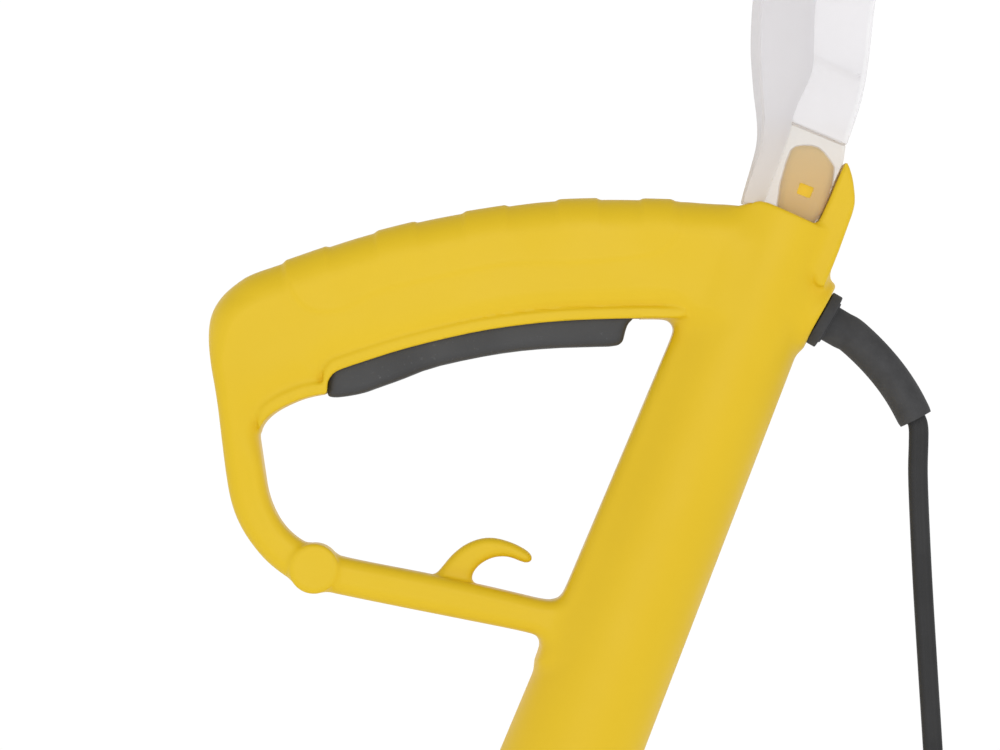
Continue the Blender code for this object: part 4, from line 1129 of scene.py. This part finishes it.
def guard():
    """A brim over the rear half of the cut, a collar under the housing, and stiffening ribs."""
    outside = [(40, 49.7), (60, 50.1), (90, 50.4), (108, 49.4), (118, 47.2), (126, 43), (130.6, 37),
               (132.4, 29),
               (134.2, 15.6), (135.2, 13.4), (134.6, 12.4), (132.8, 12.6)]
    inside = [(131.6, 14.6), (129.9, 29), (128.2, 35.8), (124.2, 41), (117.2, 44.8), (107.6, 46.9),
              (90, 47.9),
              (60, 47.5), (40, 47.1)]
    profile = [*outside, *inside]
    steps = 72
    points = []
    faces = []
    for k in range(steps + 1):
        turn = math.radians(-GUARD_HALF_SPREAD + 2 * GUARD_HALF_SPREAD * k / steps)
        for r, z in profile:
            points.append((r * math.cos(turn), r * math.sin(turn), z))
    count = len(profile)
    for k in range(steps):
        for i in range(count):
            j = (i + 1) % count
            faces.append((k * count + i, (k + 1) * count + i, (k + 1) * count + j, k * count + j))
    faces.append(tuple(range(count)))
    faces.append(tuple(steps * count + i for i in range(count)))
    mesh = mesh_of("guard_brim", points, faces)
    smooth(mesh, 35)
    brim = add_object("guard_brim", mesh, BLACK)
    edge = brim.modifiers.new("edge", "BEVEL")
    edge.width = 0.5 * MM
    edge.segments = 2
    edge.limit_method = "ANGLE"
    edge.angle_limit = math.radians(60)
    collar_profile = [(45.2, 50), (45.2, 46.6), (8, 46.6), (8, 50)]
    collar = lathe("guard_collar", rounded_profile(collar_profile, 0.6), BLACK)
    pieces = [brim, collar]
    for i, degrees in enumerate((-80, -48, -16, 16, 48, 80)):
        turn = Matrix.Rotation(math.radians(degrees), 4, "Z")
        pieces.append(box_piece(f"guard_rib_{i + 1}", (46, -1.0, 49.2), (112, 1.0, 52.2), BLACK, 0.6, turn))
    for piece in pieces:
        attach(piece, "handle")
    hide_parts("guard")


# ---- cutting head ----------------------------------------------------------------------------------------
def flutes(count, depth, low, high):
    """Vertical grip flutes cut into a lathe between two heights."""
    def wave(turn, r, z):
        if not low < z < high or r < 44.0:
            return r
        return r - depth * (0.5 + 0.5 * math.cos(count * turn)) ** 3
    return wave


def cutting_head():
    drum_profile = [
        (4.3, 44), (40, 44), (44, 43.2), (46, 41), (46, 36), (46, 30), (46, 24), (46, 18.4),
        (43.6, 18.4), (43.6, 41),
        (9, 41), (9, 26), (4.3, 26),
    ]
    drum = lathe("spool_drum", rounded_profile(drum_profile, 0.7, 2), BLACK, 144, flutes(24, 0.9, 22, 39))
    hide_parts("spool_housing")
    cap_profile = [
        (46, 18), (46.4, 16.5), (46.4, 11), (45.2, 8.4), (42.5, 6.4), (38, 6.2), (30, 6.2), (26, 7.0),
        (22, 6.4),
        (18, 6.2), (18, 8.7), (42.4, 8.9), (43.4, 11), (43.4, 18),
    ]
    cap = lathe("spool_cap_cover", rounded_profile(cap_profile, 0.6, 2), BLACK, 144, flutes(48, 0.5, 9, 17))
    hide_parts("spool_cap")
    clips = []
    for i, degrees in enumerate((90, 270)):
        turn = Matrix.Rotation(math.radians(degrees), 4, "Z")
        clips.append(box_piece(f"cap_clip_{i + 1}", (45.6, -7, 9), (48.2, 7, 25), BLACK, 0.8, turn))
    for piece in (drum, cap, *clips):
        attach(piece, "rotor")

    knob_profile = [
        (0, 10), (14, 10), (14, 34), (17, 34), (17, 4.5), (16.2, 2.2), (14.2, 0.5), (12, 0), (9.5, 0),
        (8.8, 0.9),
        (7.6, 0.9), (6.9, 0), (0, 0),
    ]
    knob = lathe("bump_knob_moulding", rounded_profile(knob_profile, 0.6, 2, False), CHARCOAL, 96)
    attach(knob, "bump_knob")
    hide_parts("bump_knob")

    eyelet_profile = [(4.6, -46.5), (4.6, -47.3), (3.2, -48.6), (2.0, -48.6), (1.3, -47.6),
                      (1.3, -42.2), (3.0, -42.2),
                      (3.0, -46.5)]
    eyelet = lathe("line_eyelet_ring", rounded_profile(eyelet_profile, 0.4, 3), BRIGHT, 40)
    height = (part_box("line_eyelet")[0][2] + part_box("line_eyelet")[1][2]) / 2
    eyelet.data.transform(Matrix.Translation((0, 0, height)) @ Matrix.Rotation(math.radians(90), 4, "Y"))
    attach(eyelet, "rotor")
    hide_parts("line_eyelet")


# ---- finishes of the CAD pieces that stay ----------------------------------------------------------------
FINISHES = {
    "switch_plunger": CHARCOAL, "capacitor": CHARCOAL, "motor_top_bracket": CHARCOAL,
    "motor_base": CHARCOAL,
    "line_spool": CHARCOAL, "joint_sleeve": BLACK, "switch_body": BLACK, "cord_clamp": BLACK,
    "motor_lead": SHEATH,
    "motor_fan": BLACK, "lower_bearing": BRIGHT, "upper_bearing": BRIGHT, "trigger_spring": SPRING,
    "brush_spring_1": SPRING, "brush_spring_2": SPRING, "bump_spring": SPRING, "guard_screw_1": STEEL,
    "guard_screw_2": STEEL, "line_cutter": BLADE, "cutter_screw": STEEL, "drive_shaft": BRIGHT,
    "shaft_nut": STEEL,
    "stator_core": LAMINATED, "armature_core": LAMINATED, "field_coil_1": WOUND, "field_coil_2": WOUND,
    "armature_winding": WOUND, "commutator": COMMUTATOR, "brush_holder_1": BRASS, "brush_holder_2": BRASS,
    "plug_pin_1": BRASS, "plug_pin_2": BRASS, "brush_1": CARBON, "brush_2": CARBON, "cutting_line": LINE,
    "line_coil": LINE_WOUND,
}


def finish_cad_nodes():
    for node, material in FINISHES.items():
        for slot in frame["nodes"][node].material_slots:
            slot.material = material


# ---- studio ----------------------------------------------------------------------------------------------
def area_light(name, place, target, size, power, colour=(1, 1, 1)):
    data = bpy.data.lights.new(name, "AREA")
    data.size = size
    data.energy = power
    data.color = colour
    lamp = bpy.data.objects.new(name, data)
    lamp.location = place
    lamp.rotation_euler = (Vector(target) - Vector(place)).to_track_quat("-Z", "Y").to_euler()
    bpy.context.scene.collection.objects.link(lamp)


FLOOR_REACH = 11.0  # metres each way


def studio():
    scene = bpy.context.scene
    scene.view_settings.view_transform = "Standard"
    world = bpy.data.worlds.new("studio")
    world.use_nodes = True
    tree = world.node_tree
    background = tree.nodes["Background"]
    direction = tree.nodes.new("ShaderNodeTexCoord").outputs["Generated"]
    parts = tree.nodes.new("ShaderNodeSeparateXYZ")
    tree.links.new(direction, parts.inputs["Vector"])
    height = tree.nodes.new("ShaderNodeMath")
    height.operation = "ABSOLUTE"
    tree.links.new(parts.outputs["Z"], height.inputs[0])
    dimmer = tree.nodes.new("ShaderNodeMapRange")
    for key, number in zip(("From Min", "From Max", "To Min", "To Max"), (0.25, 0.85, 1.02, 0.42)):
        dimmer.inputs[key].default_value = number
    tree.links.new(height.outputs["Value"], dimmer.inputs["Value"])
    tree.links.new(dimmer.outputs["Result"], background.inputs["Strength"])
    background.inputs["Color"].default_value = (1, 1, 1, 1)
    scene.world = world
    centre = (VIEW_CENTRE_X * MM, 0, VIEW_CENTRE_Z * MM)
    area_light("key", (centre[0] + 0.25, -1.9, centre[2] + 0.35), centre, 1.4, 6.0)

    mesh = bpy.data.meshes.new("floor")
    corners = [(-FLOOR_REACH, -FLOOR_REACH), (FLOOR_REACH, -FLOOR_REACH), (FLOOR_REACH, FLOOR_REACH),
               (-FLOOR_REACH, FLOOR_REACH)]
    mesh.from_pydata([(x, y, -0.0006) for x, y in corners], [], [(0, 1, 2, 3)])
    paint = Nodes("floor_paint", (0.88, 0.88, 0.88), 0.7, Emission_Color=(1, 1, 1, 1), Emission_Strength=0.28)
    paint.bump(paint.noise(300, 3), 0.1, 0.2)
    floor = add_object("floor", mesh, paint.material)


make_camera()
cord_group()
handle_casing()
rest_tongue()
lower_casing()
trigger()
forearm_rest()
screws()
guard()
cutting_head()
finish_cad_nodes()
studio()
